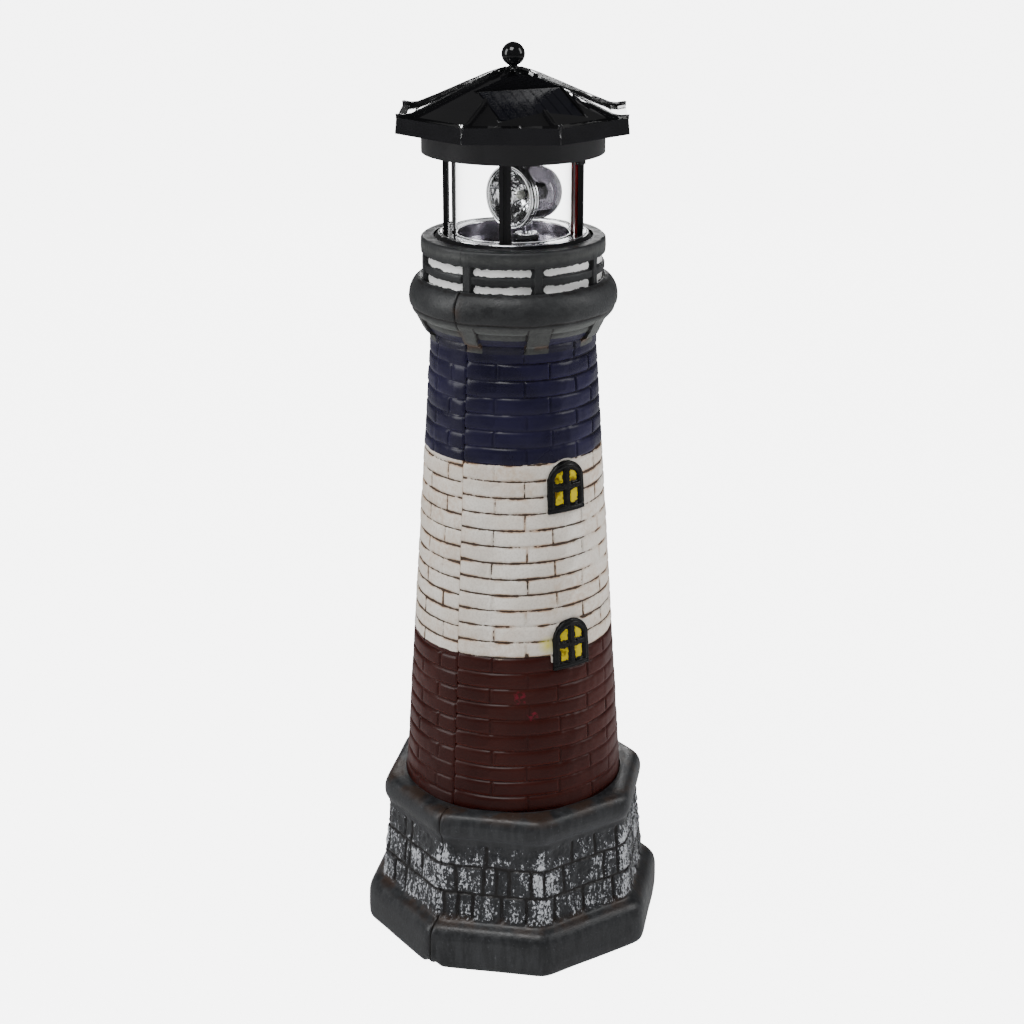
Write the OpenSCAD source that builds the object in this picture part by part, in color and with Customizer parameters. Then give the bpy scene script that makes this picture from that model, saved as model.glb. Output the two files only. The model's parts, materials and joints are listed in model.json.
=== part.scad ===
// Garden lighthouse ornament with a solar lantern and a turning beacon.
// Millimetres, +Z up, origin at the centre of the underside, windows face -Y.
// Angles written as a turn are measured from the -Y side, growing towards +X.

/* [Base] */
// How far the eight-sided plinth's corners stand out past the stone band
plinth_step = 8.4; // [7:0.1:10]
// Height of the plinth
plinth_h = 27; // [24:0.5:30]
// Corner radius of the stone band at its foot
band_low_r = 78.6; // [77:0.2:80]
// Corner radius of the stone band at its top
band_top_r = 74.2; // [72:0.2:75]
// Height of the stone band
band_h = 46; // [42:1:50]
// Heights of the stone rows from the bottom, the last row takes the rest
stone_row_h = 16; // [14:0.5:17]
// How far the moulding's corners stand out past the stone band's top
mould_step = 2.4; // [1.6:0.1:3.2]
// Height of the moulding
mould_h = 17.2; // [15:0.2:20]
// Wall thickness of the moulded tower
wall = 2.6; // [2.2:0.1:3]
// Radius of the ballast hole in the underside
ballast_r = 12; // [10:0.5:15]

/* [Tower] */
// Radius at the foot of the brick cone
foot_r = 60.7; // [59:0.1:62]
// Radius at the neck of the brick cone
neck_r = 44; // [43.5:0.1:46]
// Height of the brick cone
cone_h = 251.5; // [246:0.5:256]
// Height of one brick course
course_h = 8.8; // [8.2:0.1:9.6]
// Depth of the mortar grooves
groove = 0.6; // [0.4:0.1:0.8]
// Drop of the rear half's courses below the front half's
course_drop = 2.7; // [0:0.1:4]
// Turn of the seam between the two halves
seam_turn = -67.5; // [-67.5]

/* [Windows] */
// Width of a window plaque
win_w = 22.5; // [20:0.5:26]
// Height of a window plaque
win_h = 29.5; // [27:0.5:32]
// Height of the lower window's centre over the ground
win_low_z = 182.7; // [178:0.1:188]
// Height of the upper window's centre over the ground
win_high_z = 269.2; // [262:0.1:275]
// How far a plaque stands out of the bricks
win_proud = 1.6; // [1.2:0.1:2]
// Width of the plaque's outer frame
win_frame = 3.2; // [2.6:0.1:3.6]
// Width of the bars between the panes
win_bar = 2.2; // [1.6:0.1:2.6]

/* [Gallery] */
// Radius of the round gallery platform
torus_r = 55; // [54:0.1:56]
// Height of the gallery platform
torus_h = 22; // [20:0.5:23]
// Radius of the gallery wall's top band
rail_r = 48.4; // [48:0.1:49]
// Height of the gallery wall over the platform
rail_h = 22.5; // [21.5:0.1:24]
// Depth of the painted slots between the rails
slot_depth = 2; // [1.4:0.1:2.4]
// Height of one painted slot
slot_h = 4.2; // [3.6:0.1:4.6]
// Width of a gallery post
rail_post_w = 5; // [4:0.1:6]
// Width of a corbel under the gallery
corbel_w = 12; // [10:0.5:14]

/* [Lantern] */
// Turn of the lantern works about the tower, the spindle lies this way
works_turn = 55.5; // [50:0.5:61]
// Turn of the first upright
post_turn = -41; // [-44:0.5:-38]
// How far the flange that hangs in the gallery stands out past the cup
flange_lip = 3.2; // [2.8:0.1:3.6]
// Depth of the cup under the flange
cup_h = 29.3; // [29:0.1:31]
// Wall of the cup
cup_wall = 1.8; // [1.6:0.1:2]
// Outer radius of the clear tube
lens_r = 31.8; // [31.6:0.1:32]
// Wall of the clear tube
lens_wall = 1.8; // [1.6:0.1:2]
// Free height of the lamp room, tray brim to collar
room_h = 41.8; // [40:0.2:44]
// Width of an upright
post_w = 6; // [5:0.1:6.6]
// Radial thickness of an upright
post_t = 2.6; // [2.2:0.1:2.8]
// Radius of the chromed tray's well
well_r = 29.6; // [28:0.1:30]
// Depth of the chromed tray's well
well_h = 6.9; // [6:0.1:7.4]
// Thickness of the chromed tray
tray_t = 0.8; // [0.6:0.1:1]
// Outer radius of the collar
collar_r = 47.2; // [46:0.2:50]
// Height of the collar under the eaves
collar_h = 12; // [12:0.2:14]
// Running and seating clearance between pieces that move apart
gap = 0.3; // [0.25:0.01:0.35]
// Radial clearance of a running bore
run_gap = 0.05; // [0.03:0.01:0.08]

/* [Roof] */
// Corner radius at the foot of the eaves
eave_r = 63.3; // [62:0.1:66]
// Height of the eaves
eave_h = 8; // [7.5:0.1:9]
// Rise of the roof from the eaves' edge to the apex
roof_rise = 20.2; // [20:0.1:23]
// Thickness of the roof shell
roof_t = 1.8; // [1.6:0.1:2]
// Width of a hip rib
rib_w = 2.2; // [1.8:0.1:3]
// Height of a hip rib
rib_h = 1.6; // [1.2:0.1:2]
// Turn of the hip that the solar panel sits on
panel_turn = -13.1; // [-18:0.1:-8]
// Width of the solar panel
panel_w = 46; // [44:0.5:47]
// Length of the solar panel down the slope
panel_l = 35; // [33:0.5:36]
// Slope of the solar panel
panel_tilt = 17.5; // [16:0.5:18.5]
// Radius of the finial ball
ball_r = 6; // [5:0.1:7]

/* [Beacon] */
// Distance of the spindle from the lantern's axis
spindle_off = 6.8; // [6.4:0.1:7.2]
// Radius of the spindle
spindle_r = 1.5; // [1.3:0.1:1.8]
// Height of the beacon's axis over the tray floor
beacon_rise = 26.5; // [26:0.1:27]
// Turn of the beacon at rest
beacon_turn = -76.9; // [-90:0.1:-60]
// Outer radius of the bezel ring
bezel_r = 16.2; // [15.6:0.1:16.4]
// Distance from the spindle to the bezel's front
bezel_reach = 13.5; // [12.5:0.1:13.6]
// Radius of the dome behind the lamp
dome_r = 14.1; // [13.5:0.1:14.4]
// Distance from the spindle to the dome's centre
dome_back = 7; // [6.6:0.1:7.2]
// Radius of the stalk
stalk_r = 3.2; // [2.8:0.1:3.3]

/* [Gears and power] */
// Gear module
gear_m = 0.7; // [0.68:0.01:0.72]
// Teeth of the motor pinion and of the idler's small wheel
small_teeth = 10; // [10]
// Teeth of the idler's large wheel
idler_teeth = 30; // [28:1:31]
// Teeth of the drive gear
drive_teeth = 40; // [36:1:41]
// Play between teeth in mesh
backlash = 0.14; // [0.1:0.01:0.2]
// Diameter of the rechargeable cell
cell_d = 14.5; // [14.5]
// Length of the rechargeable cell
cell_l = 50.5; // [50.5]
// Radius of the motor can
motor_r = 7.75; // [7:0.05:8]
// Height of the motor can
motor_h = 12; // [10:0.5:13]
// Travel of the switch
switch_travel = 2.5; // [1.5:0.1:3]

/* [Hidden] */
$fn = 96;
sides = 8;
far = 400;

// Cell and cup: the cup is as wide as the cell's bay needs, to the next tenth
cell_side = 7.35;
cell_x = -(cell_side + cell_d / 2);
bay_side = 1;
bay_end = 2;
bay_rim = 0.6;
bay_corner = [cell_x - cell_d / 2 - bay_side, cell_l / 2 + bay_end];
bay_r = ceil(10 * (norm(bay_corner) + bay_rim)) / 10;
cup_r = bay_r + cup_wall;
flange_r = cup_r + flange_lip;

// Radii and heights of the tower
plinth_r = band_low_r + plinth_step;
mould_r = band_top_r + mould_step;
band_z = plinth_h;
mould_z = band_z + band_h;
base_z = mould_z + mould_h;
neck_z = base_z + cone_h;
flare_h = 11;
torus_z = neck_z + flare_h;
rail_sink = 2;
rail_z = torus_z + torus_h - rail_sink;
rim_z = rail_z + rail_h;
courses = floor(cone_h / course_h);
ledge_r = cup_r + gap;
recess_r = flange_r + gap;

// Heights of the lantern
flange_sink = 3.8;
flange_t = 5;
flange_z = rim_z - flange_sink;
flange_top = flange_z + flange_t;
brim_r = cup_r;
seat_gap = 0.2;
brim_seat_r = brim_r + seat_gap;
brim_top = flange_top;
tray_floor = brim_top - well_h;
deck_top = tray_floor - tray_t;
deck_t = 1.8;
deck_z = deck_top - deck_t;
cup_z = flange_z - cup_h;
cover_t = 2;
cover_z = cup_z + cover_t;
collar_z = brim_top + room_h;
soffit_lift = 1.2;
soffit_z = collar_z + collar_h + soffit_lift;
soffit_t = 2;
floor_t = 2;
collar_t = 2;
eave_z = collar_z + collar_h;
edge_z = eave_z + eave_h;
apex_z = edge_z + roof_rise;
post_in = 1.9;
post_out = 1.7;
post_r = (lens_r + post_in + cup_r - post_out) / 2;

// Wire and upright
wire_r = 0.75;
wire_gap = 0.25;
wire_at = post_r - post_t / 2 - wire_r - wire_gap;
wire_side = 0.95;
bend_r = wire_r + 0.05;
post_sink = 3.2;

// Works in the cup, seen with the spindle on +X
drive_face = 2.4;
idler_face = 2.2;
plate_t = 1.6;
drive_z = deck_z - 0.6 - drive_face;
idler_z = drive_z - 0.5 - idler_face;
plate_z = idler_z - 0.4 - plate_t;
pr = gear_m / 2;
idler_dir = 60;
motor_dir = -50;
drive_c = pr * (drive_teeth + small_teeth);
pinion_c = pr * (idler_teeth + small_teeth);
spindle_at = [spindle_off, 0];
idler_at = spindle_at + drive_c * [cos(idler_dir), sin(idler_dir)];
motor_at = idler_at + pinion_c * [cos(motor_dir), sin(motor_dir)];
plate_posts = [[-2, 20], [-3, -20], [22, -16]];
plate_post_r = 2.5;
cover_posts = [180, -62, 85];
cover_post_r = 3;
cover_post_at = bay_r - 4.2;
shaft_r = 0.75;
pin_r = 1;

// Screws: shanks, heads and the clearance of their holes
cover_screw_r = 1;
cover_head_r = 2.2;
plate_screw_r = 0.8;
plate_head_r = 1.8;
post_screw_r = 0.6;
post_head_r = 1.3;
roof_screw_r = 0.9;
roof_head_r = 2.1;
head_t = 1.2;
hole_gap = 0.2;

// Cell, its contacts and the run of the leads round the cup
cell_lift = 0.9;
cell_z = cover_z + cell_lift + cell_d / 2;
contact_t = 0.4;
contact_push = 1.2;
contact_y = cell_l / 2 + contact_push;
leaf_in = 6;
run_r = contact_y + 1.05;
lead_end = 180 - asin((contact_y + contact_t / 2) / run_r);

// Beacon
beacon_z = tray_floor + beacon_rise;
hub_r = 6.4;
hub_h = 4.1;
washer_r = 7;
washer_t = 0.8;
washer_z = tray_floor + hub_h + gap;
stalk_z = washer_z + washer_t;
neck_out_r = 8.5;
dome_front = -(stalk_r + 0.4);
dome_t = 1.2;
lens_face = bezel_reach - 0.7;
flare_at = stalk_r + 0.4;
bezel_back = bezel_reach - 5;
beacon_lens_t = 1;
beacon_lens_r = bezel_r - 1.3;

// Switch in the collar's floor
switch_turn = 19.5;
switch_at = collar_r - 5.4;
slider_w = 4.8;
slider_t = 3;
slider_out = 3;
board_t = 1.6;
board_z = collar_z + floor_t + 4.4;
board_w = 44;
board_near = 8;
board_feet_at = [[-12, 16], [12, 16], [-12, 38], [12, 38]];
board_foot_r = 2;

// Solar board in the roof
board_under = 2;
panel_from_axis = 7;
panel_lift = 11.9;

// The eaves lean in by this much from their foot to their edge
eave_lean = 0.8;

// Radius of the brick cone at a height
function cone_r(z) = foot_r + (neck_r - foot_r) * (z - base_z) / cone_h;
cone_slope = atan((foot_r - neck_r) / cone_h);

// Apothem of a regular octagon from its corner radius
function flat_r(r) = r * cos(180 / sides);

// Point list of part of an ellipse
function arc_pts(cx, cy, a, b, from, to, steps) =
  [for (i = [0 : steps]) let (t = from + (to - from) * i / steps) [cx + a * cos(t), cy + b * sin(t)]];

// Turns children about the tower's axis, from the front (-Y) side
module turned(a) { rotate([0, 0, a]) children(); }

// Places the works: +X of the children points to the spindle's side
module works() { rotate([0, 0, works_turn - 90]) children(); }

// A screw standing on its head, shank up
module screw_up(r, head_r, head_h, l) {
  cylinder(r = head_r, h = head_h);
  translate([0, 0, head_h]) cylinder(r = r, h = l, $fn = 24);
}

// ---- Tower ----

// Plinth, stone band and moulding, corner radius against height
function base_pts() = concat(
  [[0, 0], [plinth_r - 1.6, 0], [plinth_r - 0.3, 2.4], [plinth_r, 8], [plinth_r - 0.2, plinth_h - 9.5],
   [plinth_r - 1.2, plinth_h - 5.4], [plinth_r - 3.6, plinth_h - 2.4], [band_low_r + 1.2, plinth_h - 0.6],
   [band_low_r, plinth_h]],
  [for (k = [1 : 2]) let (z = band_z + k * stone_row_h, r = band_r(z))
    each [[r, z - 0.8], [r - 0.8, z], [r, z + 0.8]]],
  [[band_top_r, mould_z]],
  arc_pts(mould_r - 5.4, mould_z + mould_h / 2, 5.4, mould_h / 2 - 0.4, -62, 78, 8),
  [[mould_r - 8, base_z], [0, base_z]]);
function band_r(z) = band_low_r + (band_top_r - band_low_r) * (z - band_z) / band_h;

// Cone, flare, platform and gallery wall, radius against height, courses lowered by drop
function tower_pts(drop) = concat(
  [[0, base_z - 4], [foot_r, base_z - 4], [foot_r, base_z]],
  [for (k = [1 : courses]) let (z = base_z + k * course_h - drop, r = cone_r(z))
    each [[cone_r(z - groove), z - groove], [r - groove, z], [cone_r(z + groove), z + groove]]],
  [[neck_r, neck_z], [neck_r + 0.4, neck_z + 2], [neck_r + 1.6, neck_z + 6], [neck_r + 4.8, neck_z + 10]],
  arc_pts(torus_r - 8, torus_z + torus_h / 2, 8, torus_h / 2, -76, 76, 12),
  [[rail_r - slot_depth, rail_z + 0.6],
   [rail_r - slot_depth, rail_z + 0.6 + slot_h], [rail_r - 0.6, rail_z + 1 + slot_h],
   [rail_r - 0.6, rail_z + slot_h + 4.8], [rail_r - slot_depth, rail_z + slot_h + 5.2],
   [rail_r - slot_depth, rail_z + 2 * slot_h + 5.2], [rail_r - 0.2, rail_z + 2 * slot_h + 5.8],
   [rail_r, rim_z - 5], [rail_r - 0.2, rim_z - 1.2], [rail_r - 1.2, rim_z], [0, rim_z]]);

// Hollow inside the walls, with the lantern socket left standing in it
function base_hollow() = [[0, wall], [plinth_r - wall * 1.3, wall], [plinth_r - wall * 1.3, plinth_h - 8],
  [band_low_r - wall * 1.3, plinth_h - 1.5], [band_top_r - wall * 1.3, mould_z],
  [band_top_r - wall * 1.3, base_z - wall - 1], [0, base_z - wall - 1]];
socket_z = cup_z - gap;
socket_out = ledge_r + wall;
function tower_hollow() = [[0, base_z - wall - 5], [cone_r(base_z) - wall - 0.4, base_z - wall - 5],
  [neck_r - wall, neck_z + 1], [neck_r - wall, neck_z + 3],
  [torus_r - 6 - wall, torus_z + 3.5], [torus_r - wall - 0.8, torus_z + torus_h / 2],
  [torus_r - 7 - wall, torus_z + torus_h - 3.6], [rail_r - slot_depth - wall, rail_z + 2],
  [rail_r - slot_depth - wall, rail_z + 8], [socket_out, rail_z + 9],
  [socket_out, socket_z - wall], [0, socket_z - wall]];

module arch(w, h) {
  union() {
    translate([-w / 2, -h / 2]) square([w, h - w / 2]);
    translate([0, h / 2 - w / 2]) intersection() {
      circle(r = w / 2);
      translate([-w / 2, -0.01]) square([w, w]);
    }
  }
}

// Cone shell that the windows follow, stands out by the given amount
module cone_skin(out) {
  rotate_extrude() polygon([[0, base_z + 20], [cone_r(base_z + 20) + out, base_z + 20],
    [cone_r(neck_z - 10) + out, neck_z - 10], [0, neck_z - 10]]);
}

module pane_shapes() {
  pane_w = win_w - 2 * win_frame;
  pane_h = win_h - 2 * win_frame;
  difference() {
    arch(pane_w, pane_h);
    square([win_bar, win_h], center = true);
    square([win_w, win_bar], center = true);
  }
}

module window(z) {
  depth = cone_r(z) - 6;
  difference() {
    intersection() {
      cone_skin(win_proud);
      translate([0, -depth, z]) rotate([90, 0, 0]) linear_extrude(14) arch(win_w, win_h);
    }
    difference() {
      translate([0, -depth, z]) rotate([90, 0, 0]) linear_extrude(16) pane_shapes();
      cone_skin(win_proud - 1.2);
    }
  }
}

module tower_form(drop) {
  rotate([0, 0, 180 / sides]) rotate_extrude($fn = sides) polygon(base_pts());
  rotate_extrude() polygon(tower_pts(drop));
  for (k = [0 : sides - 1]) turned(seam_turn + k * 360 / sides) {
    corbel();
    gallery_post();
  }
}

module corbel() {
  translate([corbel_w / 2, 0, 0]) rotate([0, -90, 0]) linear_extrude(corbel_w)
    polygon([[neck_z + 3, -neck_r + 3], [neck_z + 3, -neck_r - 1.7], [neck_z + 6, -neck_r - 3],
      [neck_z + 12.5, -neck_r - 7.2], [neck_z + 12.5, -neck_r + 3]]);
}

module gallery_post() {
  translate([-rail_post_w / 2, -rail_r - 0.1, rail_z - 2]) cube([rail_post_w, 5, rail_h - 3.4]);
}

module tower_cut() {
  rotate([0, 0, 180 / sides]) rotate_extrude($fn = sides) polygon(base_hollow());
  rotate_extrude() polygon(tower_hollow());
  rotate_extrude() polygon([[0, socket_z], [ledge_r, socket_z], [ledge_r, flange_z],
    [recess_r, flange_z], [recess_r, rim_z + 1], [0, rim_z + 1]]);
  translate([0, 0, -1]) cylinder(r = ballast_r, h = wall + 2);
  translate([0, 0, -1]) cylinder(r = ballast_r + 3, h = 2.2);
}

// Keeps the half on one side of the seam
module half(side) {
  rotate([0, 0, seam_turn + 90 + side]) translate([-far / 2, -far, -1]) cube([far, far, 2 * far]);
}

module shell_front() {
  color([0.75, 0.72, 0.68])
  difference() {
    intersection() {
      union() {
        tower_form(0);
        window(win_low_z);
        window(win_high_z);
      }
      half(0);
    }
    tower_cut();
  }
}

module shell_rear() {
  color([0.6, 0.58, 0.55])
  difference() {
    intersection() {
      tower_form(course_drop);
      half(180);
    }
    tower_cut();
  }
}

module base_plug() {
  color([0.1, 0.1, 0.1]) {
    translate([0, 0, 0.4]) cylinder(r = ballast_r + 2.7, h = 0.8);
    translate([0, 0, 1.2]) cylinder(r = ballast_r - 0.1, h = wall);
    translate([0, 0, wall + 0.1]) cylinder(r1 = ballast_r + 0.8, r2 = ballast_r - 1, h = 2.4);
  }
}

// ---- Lantern base ----

module lantern_base() {
  color([0.06, 0.06, 0.06])
  difference() {
    union() {
      rotate_extrude() polygon([[0, deck_z], [bay_r, deck_z], [bay_r, cup_z], [cup_r, cup_z],
        [cup_r, flange_z], [flange_r, flange_z], [flange_r, flange_top - 2.3],
        [flange_r - 2.2, flange_top], [brim_seat_r, flange_top], [brim_seat_r, brim_top - tray_t],
        [well_r + tray_t + 0.4, brim_top - tray_t], [well_r + tray_t + 0.4, deck_top], [0, deck_top]]);
      works() {
        for (p = plate_posts) translate([p[0], p[1], plate_z + plate_t])
          cylinder(r = plate_post_r, h = deck_z - plate_z - plate_t + 0.2);
        for (a = cover_posts) rotate([0, 0, a]) translate([cover_post_at, 0, cover_z])
          cylinder(r = cover_post_r, h = deck_z - cover_z + 0.2);
      }
    }
    works() {
      for (p = plate_posts) translate([p[0], p[1], plate_z - 1])
        cylinder(r = plate_screw_r, h = 6.4, $fn = 24);
      for (a = cover_posts) rotate([0, 0, a]) translate([cover_post_at, 0, cover_z - 1])
        cylinder(r = cover_screw_r, h = 9, $fn = 24);
      translate([spindle_at[0], spindle_at[1], deck_z - 1]) cylinder(r = spindle_r + 2, h = deck_t + 2);
    }
    uprights() post_socket();
    wire_drop(wire_r + 0.1, deck_z - 1, brim_top + 1);
  }
}

// Repeats children at the four uprights
module uprights() {
  for (k = [0 : 3]) turned(post_turn + 90 * k) children();
}

module post_socket() {
  translate([-post_w / 2, -post_r - post_t / 2, brim_top - post_sink]) cube([post_w, post_t, far]);
}

// Both wires as straight drops beside the second upright
module wire_drop(r, low, high) {
  for (s = [-1, 1]) turned(post_turn + 90) translate([s * wire_side, -wire_at, low])
    cylinder(r = r, h = high - low, $fn = 24);
}

module base_cover() {
  color([0.08, 0.08, 0.08])
  works() difference() {
    translate([0, 0, cup_z]) cylinder(r = bay_r - 0.2, h = cover_t);
    translate([cell_x - cell_d / 2 - bay_side, -cell_l / 2 - bay_end, cup_z - 1])
      cube([cell_d + 2 * bay_side, cell_l + 2 * bay_end, cover_t + 2]);
    for (a = cover_posts) rotate([0, 0, a]) translate([cover_post_at, 0, cup_z - 1]) {
      cylinder(r = cover_screw_r + hole_gap, h = cover_t + 2, $fn = 24);
      cylinder(r = cover_head_r + hole_gap, h = 1 + head_t);
    }
  }
}

module cover_screws() {
  color([0.7, 0.7, 0.72])
  works() for (a = cover_posts) rotate([0, 0, a]) translate([cover_post_at, 0, cup_z])
    screw_up(cover_screw_r, cover_head_r, head_t, 6.8);
}

// Lid under the cell, with two cradles that the cell rests in
door_gap = 0.2;
door_w = cell_d + 2 * (bay_side - door_gap);
door_l = cell_l + 2 * (bay_end - door_gap);
door_t = 1.6;
door_head_r = 2;
door_head_t = 0.9;
rest_at = cell_l * 0.32;
rest_w = 10;

module battery_door() {
  color([0.1, 0.1, 0.1])
  works() difference() {
    union() {
      translate([cell_x - door_w / 2, -door_l / 2, cup_z]) cube([door_w, door_l, door_t]);
      for (y = [-rest_at, rest_at]) translate([cell_x - rest_w / 2, y - 1, cup_z + door_t])
        cube([rest_w, 2, cell_z - cup_z - door_t]);
    }
    translate([cell_x, 0, cell_z]) rotate([90, 0, 0])
      cylinder(d = cell_d + 0.1, h = cell_l + 8, center = true);
    translate([cell_x, 0, cup_z - 1]) {
      cylinder(r = cover_screw_r + 0.1, h = door_t + 2, $fn = 24);
      cylinder(r = door_head_r + hole_gap, h = 1 + door_head_t);
    }
  }
}

module door_screw() {
  color([0.7, 0.7, 0.72])
  works() translate([cell_x, 0, cup_z]) screw_up(cover_screw_r, door_head_r, door_head_t, door_t);
}

module battery() {
  color([0.2, 0.45, 0.25])
  works() translate([cell_x, cell_l / 2, cell_z]) rotate([90, 0, 0]) {
    cylinder(d = cell_d, h = cell_l - 1);
    translate([0, 0, cell_l - 1]) cylinder(r = 2.7, h = 1);
  }
}

module contact_leaf(y) {
  translate([cell_x - 5, y - contact_t / 2, cell_z - 7]) cube([5 + leaf_in, contact_t, 12]);
}

module contact_plus() {
  color([0.8, 0.75, 0.55])
  works() {
    contact_leaf(-contact_y);
    translate([cell_x, -contact_y + contact_t / 2, cell_z]) rotate([-90, 0, 0])
      cylinder(r = 2, h = contact_y - contact_t / 2 - cell_l / 2);
  }
}

module contact_minus() {
  color([0.8, 0.8, 0.82])
  works() {
    contact_leaf(contact_y);
    translate([cell_x, contact_y - contact_t / 2, cell_z]) rotate([90, 0, 0])
      cylinder(r1 = 4.5, r2 = 2.5, h = contact_y - contact_t / 2 - cell_l / 2);
  }
}

module gear_plate() {
  color([0.85, 0.85, 0.8])
  works() translate([0, 0, plate_z]) difference() {
    linear_extrude(plate_t) difference() {
      union() {
        polygon([plate_posts[0], plate_posts[1], plate_posts[2], motor_at + [4, 0], idler_at + [5, 4]]);
        for (p = plate_posts) translate(p) circle(r = 3.5);
        translate(motor_at) circle(r = motor_r - 1);
        translate(idler_at) circle(r = 5);
      }
      translate(spindle_at) circle(r = spindle_r + run_gap);
      translate(idler_at) circle(r = pin_r);
      translate(motor_at) circle(r = 3);
      for (p = plate_posts) translate(p) circle(r = plate_screw_r + 0.1);
    }
  }
}

module plate_screws() {
  color([0.7, 0.7, 0.72])
  works() for (p = plate_posts) translate([p[0], p[1], plate_z - head_t])
    screw_up(plate_screw_r, plate_head_r, head_t, 5);
}

module motor() {
  color([0.75, 0.75, 0.78])
  works() translate([motor_at[0], motor_at[1], plate_z - motor_h]) difference() {
    union() {
      cylinder(r = motor_r, h = motor_h);
      cylinder(r = 2.6, h = motor_h + plate_t * 0.8);
    }
    translate([0, 0, motor_h - 6]) cylinder(r = shaft_r + run_gap, h = 12);
  }
}

module idler_pin() {
  color([0.7, 0.7, 0.72])
  works() translate([idler_at[0], idler_at[1], plate_z - 0.8]) {
    cylinder(r = 2, h = 0.8);
    cylinder(r = pin_r, h = drive_z + drive_face - plate_z + 0.8);
  }
}

module brush_block() {
  color([0.8, 0.6, 0.3])
  works() translate([spindle_at[0], spindle_at[1], 0]) {
    translate([-3, -8.5, plate_z - 6.6]) cube([6, 3.4, 6.6]);
    for (z = [plate_z - 2.2, plate_z - 5]) translate([2.7, -5.2, z]) cube([0.3, 8, 1]);
  }
}

module hub_bush() {
  color([0.05, 0.05, 0.05])
  works() translate([spindle_at[0], spindle_at[1], 0]) difference() {
    union() {
      translate([0, 0, tray_floor]) cylinder(r = hub_r, h = hub_h);
      translate([0, 0, deck_z]) cylinder(r = spindle_r + 1.9, h = tray_floor - deck_z);
    }
    translate([0, 0, deck_z - 1]) cylinder(r = spindle_r + run_gap, h = far);
  }
}

module reflector_tray() {
  color([0.85, 0.85, 0.88])
  difference() {
    rotate_extrude() polygon([[0, deck_top], [well_r + tray_t, deck_top],
      [well_r + tray_t, brim_top - tray_t], [brim_r, brim_top - tray_t], [brim_r, brim_top], [well_r, brim_top], [well_r, tray_floor],
      [0, tray_floor]]);
    works() translate([spindle_at[0], spindle_at[1], deck_top - 1]) cylinder(r = spindle_r + 2.1, h = 4);
    uprights() post_socket();
    wire_drop(wire_r + 0.1, deck_z, brim_top + 1);
  }
}

module lens_tube() {
  color([0.8, 0.9, 0.95, 0.35])
  translate([0, 0, brim_top]) difference() {
    cylinder(r = lens_r, h = room_h);
    translate([0, 0, -1]) cylinder(r = lens_r - lens_wall, h = room_h + 2);
  }
}

// An upright, with a line sunk down its outer face and a hole for its screw
post_line = 1.8;
post_line_d = 0.7;

module post(k) {
  color([0.05, 0.05, 0.05])
  turned(post_turn + 90 * k) difference() {
    translate([-post_w / 2, -post_r - post_t / 2, brim_top - post_sink])
      cube([post_w, post_t, room_h + post_sink]);
    translate([-post_line / 2, -post_r - post_t / 2 - 1, brim_top + 1])
      cube([post_line, 1 + post_line_d, room_h - 2]);
    translate([0, -post_r, collar_z - 5]) cylinder(r = post_screw_r, h = 6, $fn = 24);
  }
}

module post_1() { post(0); }
module post_2() { post(1); }
module post_3() { post(2); }
module post_4() { post(3); }

// Runs one wire from the board, down the upright and round the cup to a contact
module lead(side) {
  low = cover_z + 1;
  off = atan(wire_side / run_r);
  start = post_turn + 90 - works_turn + side * off;
  finish = side * lead_end;
  sweep = abs(finish - start);
  end_x = run_r * cos(finish);
  end_y = run_r * sin(finish);
  turned(post_turn + 90) translate([side * wire_side, 0, 0]) {
    translate([0, -wire_at, low]) cylinder(r = wire_r, h = board_z - low, $fn = 24);
    translate([0, -wire_at, low]) sphere(r = bend_r, $fn = 24);
    translate([0, -run_r, low]) rotate([90, 0, 0]) cylinder(r = wire_r, h = wire_at - run_r, $fn = 24);
    translate([0, -run_r, low]) sphere(r = bend_r, $fn = 24);
  }
  works() {
    rotate([0, 0, min(start, finish)]) translate([0, 0, low])
      rotate_extrude(angle = sweep) translate([run_r, 0]) circle(r = wire_r, $fn = 24);
    translate([cell_x + leaf_in, end_y, low]) rotate([0, 90, 0])
      cylinder(r = wire_r, h = end_x - cell_x - leaf_in, $fn = 24);
    translate([end_x, end_y, low]) sphere(r = bend_r, $fn = 24);
  }
}

module wire_red() { color([0.75, 0.08, 0.08]) lead(-1); }
module wire_black() { color([0.05, 0.05, 0.05]) lead(1); }

// ---- Collar and roof ----

module collar() {
  color([0.05, 0.05, 0.05])
  difference() {
    union() {
      translate([0, 0, collar_z]) cylinder(r = collar_r, h = soffit_z - collar_z + soffit_t);
      turned(panel_turn) rotate([0, 0, -90]) translate([0, 0, soffit_z])
        cylinder(r = eave_r - eave_lean - (roof_t + gap) / cos(180 / sides), h = soffit_t, $fn = sides);
    }
    difference() {
      translate([0, 0, collar_z + floor_t]) cylinder(r = collar_r - collar_t, h = far);
      turned(switch_turn) board_feet();
    }
    uprights() translate([0, -post_r, collar_z - 1])
      cylinder(r = post_screw_r + hole_gap, h = floor_t + 4, $fn = 24);
    wire_drop(wire_r + 0.1, collar_z - 1, collar_z + floor_t + 1);
    turned(switch_turn) translate([-slider_w / 2 - gap, -switch_at - slider_t / 2 - gap, collar_z - 1])
      cube([slider_w + switch_travel + 2 * gap, slider_t + 2 * gap, floor_t + 2]);
    roof_posts() translate([0, 0, soffit_z - 1]) {
      cylinder(r = roof_screw_r + hole_gap, h = soffit_t + 2, $fn = 24);
      cylinder(r = roof_head_r + hole_gap, h = 1.8);
    }
  }
}

module board_feet() {
  for (p = board_feet_at) translate([p[0], -p[1], collar_z])
    cylinder(r = board_foot_r, h = board_z - collar_z, $fn = 32);
}

// Places of the screws between soffit and roof
module roof_posts() {
  for (k = [0 : 3]) turned(panel_turn + 67.5 + 90 * k) translate([0, -(collar_r + 4), 0]) children();
}

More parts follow.
